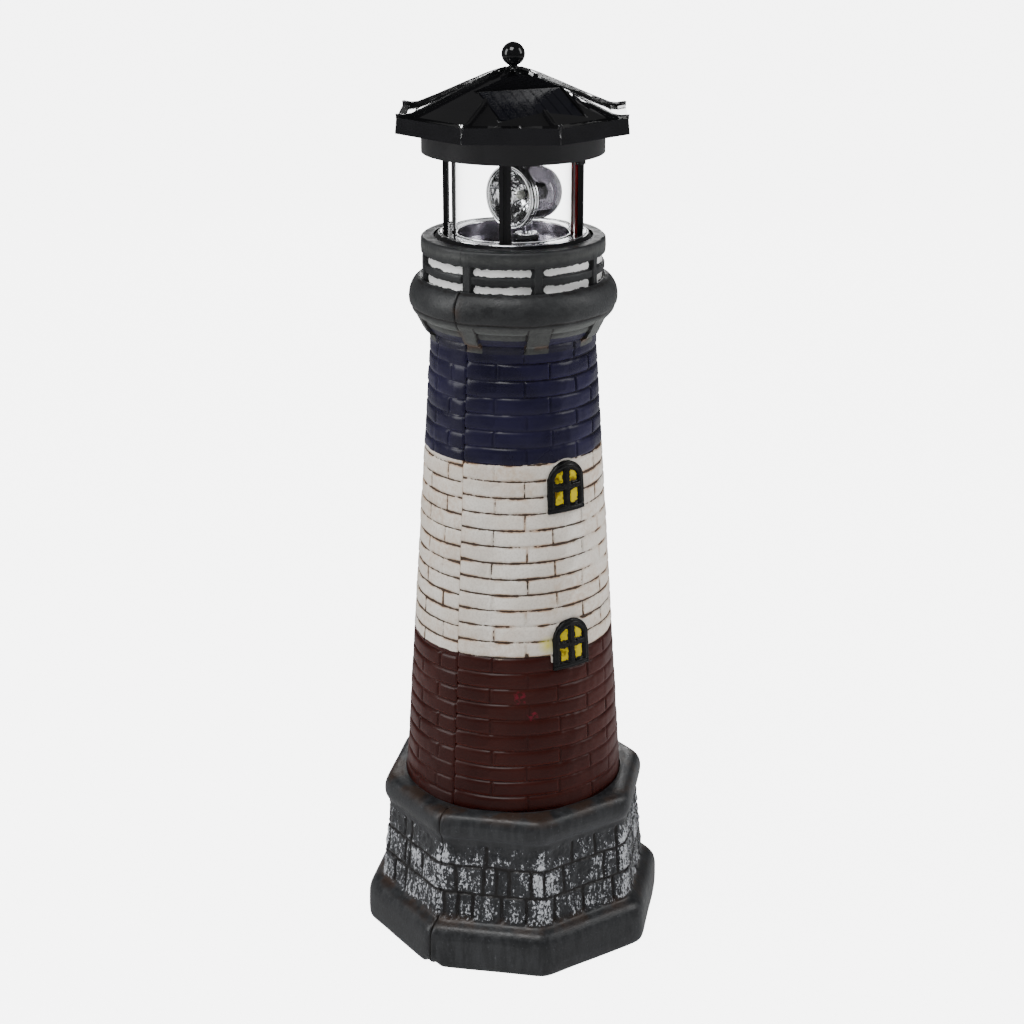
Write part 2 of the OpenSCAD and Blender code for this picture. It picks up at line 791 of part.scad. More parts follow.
module post_screws() {
  color([0.7, 0.7, 0.72])
  uprights() translate([0, -post_r, 0]) {
    translate([0, 0, collar_z - 4.6]) cylinder(r = post_screw_r, h = 4.7 + floor_t, $fn = 24);
    translate([0, 0, collar_z + floor_t]) cylinder(r = post_head_r, h = head_t, $fn = 32);
  }
}

// Height of the roof's hip at a share of its reach, hollow towards the eaves
hip_share = [[1, 0], [0.93, -0.025], [0.864, 0], [0.784, 0.1], [0.688, 0.22], [0.592, 0.35], [0.496, 0.48],
  [0.408, 0.6], [0.326, 0.705], [0.246, 0.815], [0.15, 0.925], [0.07, 1]];
function hip_pts(up) = [for (s = hip_share) [(eave_r - eave_lean) * s[0], edge_z + roof_rise * s[1] + up]];

module roof_solid() {
  turned(panel_turn) rotate([0, 0, -90]) rotate_extrude($fn = sides)
    polygon(concat([[0, eave_z], [eave_r, eave_z]], hip_pts(0), [[0, apex_z]]));
}

module roof_hollow() {
  in = roof_t / cos(180 / sides);
  turned(panel_turn) rotate([0, 0, -90]) rotate_extrude($fn = sides)
    polygon(concat([[0, eave_z - 1], [eave_r - in, eave_z - 1],
      [eave_r - eave_lean - in, edge_z - roof_t - 0.4]],
      [for (i = [2 : len(hip_share) - 1]) hip_pts(-roof_t)[i]], [[0, apex_z - roof_t]]));
}

// A rib along each hip, from eave to apex
module hip_ribs() {
  for (k = [0 : sides - 1]) turned(panel_turn + k * 360 / sides) rotate([0, 0, -90])
    rotate([90, 0, 0]) translate([0, 0, -rib_w / 2]) linear_extrude(rib_w)
      polygon(concat(hip_pts(rib_h), [for (i = [len(hip_share) - 1 : -1 : 0]) hip_pts(-0.6)[i]]));
}

// Frame of the solar panel: origin at its upper edge, face up, slope along -Y
module panel_frame() {
  turned(panel_turn) translate([0, -panel_from_axis, edge_z + panel_lift])
    rotate([panel_tilt, 0, 0]) children();
}

module panel_box(grow, low, high) {
  translate([-panel_w / 2 - grow, -panel_l - grow, low])
    cube([panel_w + 2 * grow, panel_l + 2 * grow, high - low]);
}

module roof() {
  color([0.05, 0.05, 0.05])
  difference() {
    union() {
      difference() {
        roof_solid();
        roof_hollow();
      }
      hip_ribs();
      intersection() {
        roof_solid();
        panel_frame() panel_box(gap + roof_t, -board_under - roof_t, 30);
      }
      intersection() {
        roof_solid();
        roof_posts() translate([0, 0, soffit_z + soffit_t]) cylinder(r = 3, h = 20);
      }
    }
    panel_frame() panel_box(gap, -board_under, 30);
    roof_posts() translate([0, 0, soffit_z]) cylinder(r = roof_screw_r, h = soffit_t + 3.4, $fn = 24);
    translate([0, 0, apex_z - 8]) cylinder(r = 1.6, h = 20);
  }
}

module roof_screws() {
  color([0.7, 0.7, 0.72])
  roof_posts() translate([0, 0, soffit_z - 0.6])
    screw_up(roof_screw_r, roof_head_r, 1.4, soffit_t + 2);
}

module finial() {
  color([0.05, 0.05, 0.05])
  rotate_extrude() polygon(concat(
    [[0, apex_z - 4], [1.6, apex_z - 4], [1.6, apex_z], [3.2, apex_z], [3, apex_z + 1.2],
     [2.2, apex_z + 2.4]],
    arc_pts(0, apex_z + 2.4 + ball_r, ball_r, ball_r, -68, 90, 16)));
}

module solar_board() {
  color([0.1, 0.12, 0.2])
  panel_frame() panel_box(0, -board_under, -0.4);
}

module solar_cells() {
  color([0.05, 0.06, 0.15])
  panel_frame() for (i = [0 : 7])
    translate([-panel_w / 2 + 1.4 + i * (panel_w - 2.4) / 8, -panel_l + 1.5, -0.4])
      cube([(panel_w - 2.4) / 8 - 0.4, panel_l - 3, 0.4]);
}

module circuit_board() {
  color([0.1, 0.35, 0.15])
  turned(switch_turn) translate([0, 0, board_z]) linear_extrude(board_t) intersection() {
    circle(r = collar_r - 2.6);
    translate([-board_w / 2, -far]) square([board_w, far - board_near]);
  }
}

module board_parts() {
  color([0.15, 0.15, 0.16])
  turned(switch_turn) translate([0, 0, board_z + board_t]) {
    translate([-10, -26, 0]) cube([5, 4, 1.6]);
    translate([2, -27, 0]) cylinder(r = 3, h = 3.4);
    translate([10, -24, 0]) cube([6, 4, 3]);
    translate([-15, -36, 0]) cylinder(r = 2, h = 3.6);
    for (i = [0 : 3]) translate([-14 + 5 * i, -17, 0]) cube([3.2, 1.6, 0.8]);
  }
}

module switch_body() {
  color([0.6, 0.6, 0.62])
  turned(switch_turn) translate([switch_travel / 2, -switch_at, collar_z + floor_t]) difference() {
    translate([-slider_w / 2 - switch_travel / 2 - 2, -slider_t / 2 - 1, 0.1])
      cube([slider_w + switch_travel + 4, slider_t + 2, board_z - collar_z - floor_t - 0.1]);
    translate([-slider_w / 2 - switch_travel / 2 - gap, -slider_t / 2 - gap, -1])
      cube([slider_w + switch_travel + 2 * gap, slider_t + 2 * gap, 4.2]);
  }
}

module switch_slider() {
  color([0.1, 0.1, 0.1])
  turned(switch_turn) translate([-slider_w / 2, -switch_at - slider_t / 2, collar_z - slider_out])
    cube([slider_w, slider_t, slider_out + floor_t + 2.9]);
}

// ---- Gears ----

pressure = 25;
function involute(a) = tan(a) * 180 / PI - a;

// Half the angle of a tooth at a radius
function tooth_half(m, n, r) =
  let (base = m * n / 2 * cos(pressure))
  90 / n - backlash / (m * n) * 90 / PI + involute(pressure) - involute(r > base ? acos(base / r) : 0);

// Outline of a spur wheel with a tooth on +X
function flank(m, n, r, a, side) = let (t = a + side * tooth_half(m, n, r)) r * [cos(t), sin(t)];
function wheel_pts(m, n) =
  let (tip = m * (n / 2 + 0.8), low = m * (n / 2 - 1), mid = m * n / 2, step = 0.4 * m)
  [for (k = [0 : n - 1]) let (a = k * 360 / n) each [
    for (r = [low, mid - step, mid, mid + step, tip]) flank(m, n, r, a, -1),
    for (r = [tip, mid + step, mid, mid - step, low]) flank(m, n, r, a, 1)]];

module wheel(n, face, bore) {
  linear_extrude(face) difference() {
    polygon(wheel_pts(gear_m, n));
    if (bore > 0) circle(r = bore);
  }
}

module motor_shaft() {
  color([0.7, 0.7, 0.72])
  works() translate([motor_at[0], motor_at[1], plate_z - 5.4])
    cylinder(r = shaft_r, h = idler_z + idler_face - plate_z + 5.4);
}

module motor_pinion() {
  color([0.9, 0.9, 0.85])
  works() translate([motor_at[0], motor_at[1], idler_z])
    rotate([0, 0, motor_dir + 180 + 180 / small_teeth]) wheel(small_teeth, idler_face, shaft_r);
}

module idler_gear() {
  color([0.9, 0.9, 0.85])
  works() translate([idler_at[0], idler_at[1], idler_z]) difference() {
    union() {
      rotate([0, 0, motor_dir]) wheel(idler_teeth, idler_face, 0);
      rotate([0, 0, idler_dir + 180 + 180 / small_teeth])
        wheel(small_teeth, drive_z + drive_face - idler_z, 0);
    }
    translate([0, 0, -1]) cylinder(r = pin_r + run_gap, h = far);
  }
}

module drive_gear() {
  color([0.9, 0.9, 0.85])
  works() translate([spindle_at[0], spindle_at[1], drive_z])
    rotate([0, 0, idler_dir]) wheel(drive_teeth, drive_face, spindle_r);
}

// ---- Beacon ----

module on_spindle() {
  works() translate([spindle_at[0], spindle_at[1], 0]) children();
}

// Lamp frame: +Z of the children points out of the lamp, origin on the spindle
module lamp() {
  on_spindle() rotate([0, 0, beacon_turn - works_turn]) translate([0, 0, beacon_z])
    rotate([0, 90, 0]) children();
}

module spindle() {
  color([0.75, 0.75, 0.78])
  on_spindle() translate([0, 0, plate_z - 6.4]) cylinder(r = spindle_r, h = stalk_z + 5 - plate_z + 6.4);
}

module slip_rings() {
  color([0.85, 0.65, 0.3])
  on_spindle() for (z = [plate_z - 5.4, plate_z - 2.6]) translate([0, 0, z]) difference() {
    cylinder(r = 2.6, h = 1.8);
    translate([0, 0, -1]) cylinder(r = spindle_r, h = 4);
  }
}

module thrust_washer() {
  color([0.92, 0.92, 0.9])
  on_spindle() translate([0, 0, washer_z]) difference() {
    cylinder(r = washer_r, h = washer_t);
    translate([0, 0, -1]) cylinder(r = spindle_r, h = 4);
  }
}

module stalk() {
  color([0.8, 0.8, 0.83])
  difference() {
    on_spindle() translate([0, 0, stalk_z]) difference() {
      union() {
        cylinder(r = stalk_r, h = beacon_z - stalk_z);
        cylinder(r1 = stalk_r + 1.4, r2 = stalk_r, h = 2.4);
      }
      translate([0, 0, -1]) cylinder(r = spindle_r, h = 6);
    }
    lamp() translate([0, 0, -10]) cylinder(r = neck_out_r, h = 20);
  }
}

module beacon_housing() {
  color([0.8, 0.8, 0.83])
  lamp() difference() {
    union() {
      rotate_extrude() polygon([[neck_out_r - 0.9, dome_front - 1], [dome_r - 1.65, dome_front - 1],
        [dome_r - 1.65, dome_front - 0.2], [neck_out_r, dome_front - 0.2], [neck_out_r, flare_at],
        [beacon_lens_r, bezel_back], [beacon_lens_r, bezel_reach - 3],
        [beacon_lens_r - 0.8, bezel_reach - 3], [beacon_lens_r - 0.8, bezel_back + 0.5], [neck_out_r - 0.9, flare_at + 0.6]]);
      translate([0, 0, dome_front - 1]) cylinder(r = neck_out_r, h = 0.8);
    }
    translate([0, 0, -20]) cylinder(r = led_r, h = 30);
  }
}

module beacon_bezel() {
  color([0.85, 0.85, 0.88])
  lamp() rotate_extrude() polygon(concat(
    [[beacon_lens_r, bezel_back], [bezel_r - 0.5, bezel_back]],
    arc_pts(bezel_r - 0.8, bezel_reach - 0.8, 0.8, 0.8, 0, 90, 4),
    [[beacon_lens_r - 0.9, bezel_reach], [beacon_lens_r - 0.9, lens_face], [beacon_lens_r, lens_face]]));
}

module beacon_lens() {
  color([0.85, 0.93, 0.97, 0.3])
  lamp() translate([0, 0, lens_face - beacon_lens_t]) cylinder(r = beacon_lens_r, h = beacon_lens_t);
}

// Bowl of the reflector: its depth grows with the square of the radius
bowl_back = flare_at - 0.2;
bowl_l = lens_face - beacon_lens_t - bowl_back;
led_r = 2.4;
bowl_foot = led_r + 0.2;
bowl_rim = beacon_lens_r - 1.6;
function bowl_pts(out) = [for (i = [0 : 8])
  [bowl_foot + (bowl_rim - bowl_foot) * i / 8 + out, bowl_back + bowl_l * i * i / 64]];

module beacon_reflector() {
  color([0.9, 0.9, 0.92])
  lamp() rotate_extrude() polygon(concat(bowl_pts(0), [for (i = [8 : -1 : 0]) bowl_pts(0.6)[i]]));
}

module beacon_led() {
  color([0.95, 0.95, 0.85])
  lamp() rotate_extrude() polygon(concat([[0, dome_front - 1], [led_r, dome_front - 1]],
    arc_pts(0, bowl_back + 1, led_r, led_r, 0, 90, 8)));
}

module led_holder() {
  color([0.8, 0.8, 0.82])
  lamp() translate([0, 0, dome_front - 8.4]) cylinder(r = 4.5, h = 7.4);
}

module beacon_dome() {
  color([0.25, 0.22, 0.28, 0.7])
  lamp() intersection() {
    translate([0, 0, -dome_back]) difference() {
      sphere(r = dome_r);
      sphere(r = dome_r - dome_t);
    }
    translate([0, 0, dome_front - far]) cylinder(r = 40, h = far);
  }
}

shell_front();
shell_rear();
base_plug();
lantern_base();
base_cover();
cover_screws();
battery_door();
door_screw();
battery();
contact_plus();
contact_minus();
gear_plate();
plate_screws();
motor();
idler_pin();
brush_block();
hub_bush();
reflector_tray();
lens_tube();
post_1();
post_2();
post_3();
post_4();
wire_red();
wire_black();
collar();
post_screws();
roof();
roof_screws();
finial();
solar_board();
solar_cells();
circuit_board();
board_parts();
switch_body();
switch_slider();
motor_shaft();
motor_pinion();
idler_gear();
spindle();
drive_gear();
slip_rings();
thrust_washer();
stalk();
beacon_housing();
beacon_bezel();
beacon_lens();
beacon_reflector();
beacon_led();
led_holder();
beacon_dome();
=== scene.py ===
# %% [markdown]
# # A garden lighthouse with a solar lantern
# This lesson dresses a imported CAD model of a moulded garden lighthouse. The tower is a
# hollow casting in two halves: an eight-sided stone base, a tapering brick shaft and a
# round gallery. A black plastic lantern drops into the gallery, with a clear tube, a
# solar roof and a beacon that a small geared motor turns.
# The CAD bodies are the fixed frame. Every piece made here rides on one of them. The
# shapes are worked out in millimetres and put into the scene in metres.

# %% Load the frame
import bpy
import bmesh
import json
import math
import numpy as np
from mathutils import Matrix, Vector


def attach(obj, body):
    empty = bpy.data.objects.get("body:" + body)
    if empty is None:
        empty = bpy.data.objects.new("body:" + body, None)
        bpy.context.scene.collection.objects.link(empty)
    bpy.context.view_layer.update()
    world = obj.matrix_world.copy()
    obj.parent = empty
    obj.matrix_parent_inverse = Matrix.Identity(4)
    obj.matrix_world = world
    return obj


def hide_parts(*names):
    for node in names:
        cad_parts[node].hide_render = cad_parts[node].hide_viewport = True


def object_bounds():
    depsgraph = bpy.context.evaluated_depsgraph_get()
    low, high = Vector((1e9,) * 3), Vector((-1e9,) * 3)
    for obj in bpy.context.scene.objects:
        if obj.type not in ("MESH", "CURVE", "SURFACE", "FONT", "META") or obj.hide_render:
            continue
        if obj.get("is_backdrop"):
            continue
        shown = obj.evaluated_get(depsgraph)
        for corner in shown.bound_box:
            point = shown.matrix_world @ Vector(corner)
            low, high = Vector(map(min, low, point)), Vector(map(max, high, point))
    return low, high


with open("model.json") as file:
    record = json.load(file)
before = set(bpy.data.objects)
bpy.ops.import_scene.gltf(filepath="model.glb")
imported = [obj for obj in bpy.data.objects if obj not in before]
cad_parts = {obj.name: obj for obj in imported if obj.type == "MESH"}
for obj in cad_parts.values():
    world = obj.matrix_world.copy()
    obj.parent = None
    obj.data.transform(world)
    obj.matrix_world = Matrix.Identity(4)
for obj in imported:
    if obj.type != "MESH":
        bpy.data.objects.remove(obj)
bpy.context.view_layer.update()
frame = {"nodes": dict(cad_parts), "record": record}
nodes = frame["nodes"]
MM = 0.001

# %% [markdown]
# ## Camera
# The photograph looks down a little onto the gallery rim. Its lens was worked out from
# the ovals that the round parts make, which gives a fairly long lens about 1.2 m away.

# %% Camera
VIEW_TURN = -34.5
VIEW_TILT = 70.31
VIEW_FROM = (-0.580, -0.844, 0.608)
SENSOR_MM, LENS_MM = 36, 70.146
SHIFT_X = -0.00126
camera = bpy.data.objects.new("camera", bpy.data.cameras.new("camera"))
bpy.context.scene.collection.objects.link(camera)
camera.location = VIEW_FROM
camera.rotation_euler = (math.radians(VIEW_TILT), 0, math.radians(VIEW_TURN))
camera.data.sensor_width = SENSOR_MM
camera.data.lens = LENS_MM
camera.data.shift_x = SHIFT_X
bpy.context.scene.camera = camera
print("camera at", tuple(round(v, 3) for v in camera.location))

# %% [markdown]
# ## Node helpers
# A material is a small tree of nodes. These helpers add one node each, set its options and
# either link a socket or type a number into it, so that each finish stays readable.


# %% Node helpers
def fill_sockets(tree, made, values):
    """Links or types a value into each named or numbered socket of a node."""
    for socket, value in values.items():
        if isinstance(value, bpy.types.NodeSocket):
            tree.links.new(value, made.inputs[socket])
        else:
            made.inputs[socket].default_value = value
    return made


def add(tree, kind, values=None, **options):
    """A new shader node of a kind, with its options and sockets set."""
    made = tree.nodes.new("ShaderNode" + kind)
    for option, value in options.items():
        setattr(made, option, value)
    return fill_sockets(tree, made, values or {})


def math_node(tree, operation, first, second=0.0, third=0.0):
    return add(tree, "Math", {0: first, 1: second, 2: third}, operation=operation).outputs[0]


def times(tree, first, second):
    return math_node(tree, "MULTIPLY", first, second)


def scaled(tree, value, factor, plus):
    return math_node(tree, "MULTIPLY_ADD", value, factor, plus)


def over(tree, share, value, first, second):
    """A smooth step: 0 below first, share above second."""
    made = add(tree, "MapRange", {0: value, 1: first, 2: second, 3: 0.0, 4: share},
               interpolation_type="SMOOTHSTEP")
    return made.outputs[0]


def blend(tree, share, low, high):
    """A colour between low and high."""
    return add(tree, "Mix", {0: share, 6: low, 7: high}, data_type="RGBA").outputs[2]


def object_place(tree):
    """Where a point lies on the object, which moves with the piece."""
    return add(tree, "TexCoord").outputs["Object"]


print("node helpers ready, for trees such as", bpy.types.ShaderNodeTree.__name__)

# %% [markdown]
# ## Shared effects
# Four effects turn up in nearly every finish: a fine grain for the bump, soft patches for
# colour, brush streaks that run one way, and a wash that stays broken in the hollows. As
# node groups they are made once, and a change to one reaches every finish that uses it.


# %% Effect groups
def new_group(name, inputs, output):
    """A shader node group with one output and named number inputs, given as {name: default}."""
    tree = bpy.data.node_groups.new(name, "ShaderNodeTree")
    for label, value in inputs.items():
        socket = tree.interface.new_socket(label, in_out="INPUT", socket_type="NodeSocketFloat")
        socket.default_value = value
    tree.interface.new_socket(output, in_out="OUTPUT", socket_type="NodeSocketFloat")
    return tree, tree.nodes.new("NodeGroupInput").outputs, tree.nodes.new("NodeGroupOutput").inputs[0]


def grain_group():
    """Fine even grain: Size is in grains for each metre."""
    tree, given, out = new_group("Grain", {"Size": 900.0, "Detail": 3.0}, "Height")
    specks = add(tree, "TexNoise", {"Vector": object_place(tree), "Scale": given["Size"],
                                    "Detail": given["Detail"]})
    tree.links.new(specks.outputs[0], out)
    return tree


def patch_group():
    """Soft patches: a noise squeezed between Low and High."""
    tree, given, out = new_group("Soft patches", {"Size": 60.0, "Low": 0.4, "High": 0.6, "Shift": 0.0},
                                 "Mask")
    moved = add(tree, "VectorMath", {0: object_place(tree), 1: given["Shift"]}, operation="ADD").outputs[0]
    clouds = add(tree, "TexNoise", {"Vector": moved, "Scale": given["Size"], "Detail": 4.0})
    tree.links.new(over(tree, 1.0, clouds.outputs[0], given["Low"], given["High"]), out)
    return tree


def streak_group():
    """Brush streaks: along the height where Upright is under 1, and round the piece over 1."""
    tree, given, out = new_group("Brush streaks", {"Size": 300.0, "Upright": 0.2, "Low": 0.45, "High": 0.6},
                                 "Mask")
    squash = add(tree, "CombineXYZ", {0: 1.0, 1: 1.0, 2: given["Upright"]}).outputs[0]
    moved = add(tree, "VectorMath", {0: object_place(tree), 1: squash}, operation="MULTIPLY").outputs[0]
    hairs = add(tree, "TexNoise", {"Vector": moved, "Scale": given["Size"], "Detail": 5.0, "Roughness": 0.65})
    tree.links.new(over(tree, 1.0, hairs.outputs[0], given["Low"], given["High"]), out)
    return tree


def wash_group():
    """A wash that stays in hollows: Hollow is 0 on the face and 1 in the groove, Fill how much stays."""
    tree, given, out = new_group("Broken wash", {"Hollow": 0.0, "Size": 240.0, "Fill": 0.5, "Soft": 0.15},
                                 "Mask")
    blots = add(tree, "TexNoise", {"Vector": object_place(tree), "Scale": given["Size"], "Detail": 4.0,
                                   "Roughness": 0.7})
    level = math_node(tree, "ADD", given["Hollow"], math_node(tree, "SUBTRACT", blots.outputs[0], 0.5))
    edge = math_node(tree, "SUBTRACT", 1.0, given["Fill"])
    tree.links.new(over(tree, 1.0, level, edge, math_node(tree, "ADD", edge, given["Soft"])), out)
    return tree


GRAIN, PATCHES, STREAKS, WASH = grain_group(), patch_group(), streak_group(), wash_group()
print("shared effects", [group.name for group in (GRAIN, PATCHES, STREAKS, WASH)])

# %% [markdown]
# ## Using the effects
# Each group gets a short function, so a finish reads as a list of what the painter did.


# %% Effect functions
def use_group(tree, group, values):
    made = tree.nodes.new("ShaderNodeGroup")
    made.node_tree = group
    return fill_sockets(tree, made, values).outputs[0]


def grain(tree, size, detail=3.0):
    return use_group(tree, GRAIN, {"Size": size, "Detail": detail})


def patches(tree, size, low, high, shift=0.0):
    return use_group(tree, PATCHES, {"Size": size, "Low": low, "High": high, "Shift": shift})


def streaks(tree, size, upright, low, high):
    return use_group(tree, STREAKS, {"Size": size, "Upright": upright, "Low": low, "High": high})


def broken_wash(tree, hollow, size, fill, soft):
    return use_group(tree, WASH, {"Hollow": hollow, "Size": size, "Fill": fill, "Soft": soft})


def new_finish(name):
    """A new material with its node tree and its shader."""
    made = bpy.data.materials.new(name)
    made.use_nodes = True
    return made, made.node_tree, made.node_tree.nodes["Principled BSDF"]


def surface(tree, shader, colour, rough, height, depth):
    """Links the three things that every finish varies: colour, roughness and a bump in mm."""
    tree.links.new(colour, shader.inputs["Base Color"])
    tree.links.new(rough, shader.inputs["Roughness"])
    bumps = add(tree, "Bump", {"Strength": 1.0, "Distance": depth * MM, "Height": height})
    tree.links.new(bumps.outputs[0], shader.inputs["Normal"])


print("effect functions", [use.__name__ for use in (grain, patches, streaks, broken_wash)])

# %% [markdown]
# ## Moulded and metal finishes
# The lantern is injection-moulded plastic with a few metal bits. One function makes them:
# a colour with slight patches, a roughness that wanders, and a faint grain in the bump.


# %% Moulded finish
def finish(name, colour, rough, metal=0.0, patch=0.12, grains=1200.0, bump=0.02, **extra):
    """A moulded or metal finish. patch is how far the colour and roughness wander."""
    made, tree, shader = new_finish(name)
    dark = tuple(c * (1 - patch) for c in colour) + (1,)
    light = tuple(min(1, c * (1 + patch)) for c in colour) + (1,)
    tint = blend(tree, patches(tree, 70.0, 0.35, 0.65), dark, light)
    fine = patches(tree, 420.0, 0.3, 0.7, 3.0)
    wander = add(tree, "MapRange", {0: fine, 3: rough * (1 - patch), 4: min(1.0, rough * (1 + 1.5 * patch))})
    surface(tree, shader, tint, wander.outputs[0], grain(tree, grains), bump)
    shader.inputs["Metallic"].default_value = metal
    for socket, value in extra.items():
        shader.inputs[socket.replace("_", " ")].default_value = value
    return made


ROOF_GLOSS = finish("roof gloss", (0.003, 0.003, 0.0034), 0.07, bump=0.03, grains=90.0,
                    Specular_IOR_Level=0.4)
print("first finish", ROOF_GLOSS.name)

# %% [markdown]
# ## Clear finishes
# The tube, the lamp's lens and its smoked ball let light through. Real plastic of this kind
# is never quite clear: a haze comes and goes, and slow waves bend what lies behind it.


# %% Clear finish
def clear(name, colour, rough, ior=1.49, bump=0.002):
    """A clear plastic: light goes through and bends at each face."""
    made, tree, shader = new_finish(name)
    shader.inputs["Base Color"].default_value = (*colour, 1)
    haze = patches(tree, 90.0, 0.45, 0.75)
    tree.links.new(times(tree, haze, rough), shader.inputs["Roughness"])
    bumps = add(tree, "Bump", {"Strength": 1.0, "Distance": bump * MM, "Height": grain(tree, 160.0, 1.0)})
    tree.links.new(bumps.outputs[0], shader.inputs["Normal"])
    shader.inputs["Transmission Weight"].default_value = 1.0
    shader.inputs["IOR"].default_value = ior
    return made


LAMP_LENS = clear("lamp lens", (1.0, 1.0, 1.0), 0.01, ior=1.12, bump=0.01)
print("clear finish", LAMP_LENS.name)

# %% [markdown]
# ## Handing out the finishes
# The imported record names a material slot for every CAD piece. A table gives each slot its
# finish, so the hidden works are dressed in the same pass as what shows. The tower's own
# slot isn't in it, because other pieces take the tower's place below.

# %% Finishes for every slot
FINISHES = {
    "plug_rubber": finish("plug rubber", (0.02, 0.02, 0.021), 0.7, bump=0.05),
    "black_plastic": finish("black plastic", (0.004, 0.004, 0.0045), 0.2, bump=0.004, grains=1500.0,
                            Specular_IOR_Level=0.35),
    "screw_steel": finish("screw steel", (0.5, 0.5, 0.51), 0.3, metal=1.0),
    "motor_steel": finish("motor steel", (0.55, 0.55, 0.56), 0.35, metal=1.0),
    "cell_sleeve": finish("cell sleeve", (0.03, 0.22, 0.07), 0.35),
    "spring_brass": finish("spring brass", (0.75, 0.6, 0.28), 0.35, metal=1.0),
    "gear_plastic": finish("gear plastic", (0.8, 0.79, 0.72), 0.45),
    "chromed": finish("chromed", (0.7, 0.7, 0.73), 0.07, metal=1.0, patch=0.05, bump=0.004),
    "clear_plastic": clear("clear plastic", (0.985, 0.99, 0.995), 0.01, ior=1.3),
    "led_resin": finish("led resin", (0.9, 0.9, 0.8), 0.15),
    "led_cream": finish("led cream", (0.85, 0.84, 0.76), 0.5),
    "smoked_plastic": clear("smoked plastic", (0.205, 0.197, 0.213), 0.04),
    "red_sleeve": finish("red sleeve", (0.45, 0.01, 0.015), 0.4),
    "black_sleeve": finish("black sleeve", (0.015, 0.014, 0.014), 0.4),
    "panel_black": finish("panel black", (0.004, 0.004, 0.0045), 0.2, Specular_IOR_Level=0.15),
    "cell_blue": finish("cell blue", (0.003, 0.0033, 0.006), 0.22, Specular_IOR_Level=0.15),
    "board_green": finish("board green", (0.02, 0.14, 0.045), 0.4),
    "chip_black": finish("chip black", (0.02, 0.02, 0.02), 0.5),
}


def give_finish(label, made):
    nodes[label].data.materials.clear()
    nodes[label].data.materials.append(made)


for part in frame["record"]["subparts"]:
    if part["material_slot"] in FINISHES:
        give_finish(part["node"], FINISHES[part["material_slot"]])
print("finishes", len(FINISHES))

# %% [markdown]
# ## Points, paths and noise
# The real tower is a resin casting in two halves, glued along an upright seam. It is
# built here as closed half rings: a grid of points that runs up the outside and down the
# inside, with the outer rows pushed in and out for mortar, stone and brush relief. These
# are the tools for that: points at a turn, soft paths, and a seeded noise on plain arrays.

# %% Points and noise
SEAM = -67.5
HALF_TURN = 180
NOISE_MIX = np.array([12.9898, 78.233, 37.719])
NOISE_SPREAD = 43758.5453
NOISE_STEP = 7.31


def turned(radius, turn, height):
    """Points in mm at a turn in degrees from the front (-Y) towards +X."""
    angle = np.radians(turn)
    return np.stack(np.broadcast_arrays(radius * np.sin(angle), -radius * np.cos(angle), height), axis=-1)


def cloud(points, size, seed=0):
    """Smooth noise from -1 to 1, with features about size mm wide."""
    place = points / size + NOISE_STEP * seed
    cell = np.floor(place).astype(int)
    part = place - cell
    part = part * part * (3 - 2 * part)
    total = np.zeros(points.shape[:-1])
    for corner in np.ndindex(2, 2, 2):
        spot = np.sin((cell + corner) @ NOISE_MIX) * NOISE_SPREAD
        weight = np.prod(np.where(np.array(corner) == 1, part, 1 - part), axis=-1)
        total += weight * (spot - np.floor(spot))
    return 2 * total - 1


def layers(points, parts):
    """Several noises added up, each given as (height in mm, size, seed)."""
    return sum(height * cloud(points, size, seed) for height, size, seed in parts)


def soft_path(points, step, passes=2):
    """Evenly spaced points along a path of (radius, height), its corners rubbed soft."""
    path = np.array(points, float)
    at = np.concatenate([[0], np.cumsum(np.hypot(*np.diff(path, axis=0).T))])
    even = np.linspace(0, at[-1], max(2, round(at[-1] / step) + 1))
    path = np.stack([np.interp(even, at, path[:, k]) for k in (0, 1)], axis=-1)
    for _ in range(passes):
        path[1:-1] = (path[:-2] + 2 * path[1:-1] + path[2:]) / 4
    return path


def ellipse(centre, across, up, start, stop, steps):
    """Part of an ellipse as a list of (radius, height)."""
    angles = np.radians(np.linspace(start, stop, steps + 1))
    return [(centre[0] + across * math.cos(a), centre[1] + up * math.sin(a)) for a in angles]


def bump_line(distance, width):
    """1 on a line and 0 away from it, with round shoulders."""
    return np.exp(-(distance / width) ** 2)


def arc(turns, radius):
    """The length in mm that a turn in degrees makes at a radius."""
    return turns * math.pi / 180 * radius


print("noise test", round(float(cloud(np.array([[1.0, 2.0, 3.0]]), 5.0)[0]), 3))

# %% [markdown]
# ## Half rings
# Each half of the tower stays a closed skin, so that it has an inside, a wall and an
# outside. Marks such as hollow or peak are kept on its points, for the paint to read.
# The columns gather where a joint needs them and stay wide apart elsewhere, and the two
# end columns stop a hair short of the seam, so that the halves touch nowhere.

# %% Half rings
SEAM_GAP = 0.06
WELD_GAP = 1e-6


def pushed(grid, relief):
    """The grid moved along its own normals by relief, in mm."""
    normal = np.cross(np.gradient(grid, axis=1), np.gradient(grid, axis=0))
    normal /= np.maximum(np.linalg.norm(normal, axis=-1, keepdims=True), 1e-9)
    return grid + normal * relief[..., None]


def place_piece(name, mesh, made, body, stands_for=None, sharp=40):
    """Shades a mesh, gives it its finish, and puts it on its body."""
    mesh.polygons.foreach_set("use_smooth", [True] * len(mesh.polygons))
    mesh.set_sharp_from_angle(angle=math.radians(sharp))
    piece = bpy.data.objects.new(name, mesh)
    bpy.context.scene.collection.objects.link(piece)
    mesh.materials.append(made)
    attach(piece, body)
    if stands_for:
        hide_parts(stands_for)
    print(name, "faces", len(mesh.polygons))
    return piece


def keep_shell(shell, mesh):
    """Puts a closed shell of faces into a mesh, with all of them turned outwards."""
    bmesh.ops.recalc_face_normals(shell, faces=shell.faces)
    shell.to_mesh(mesh)
    shell.free()
    return mesh


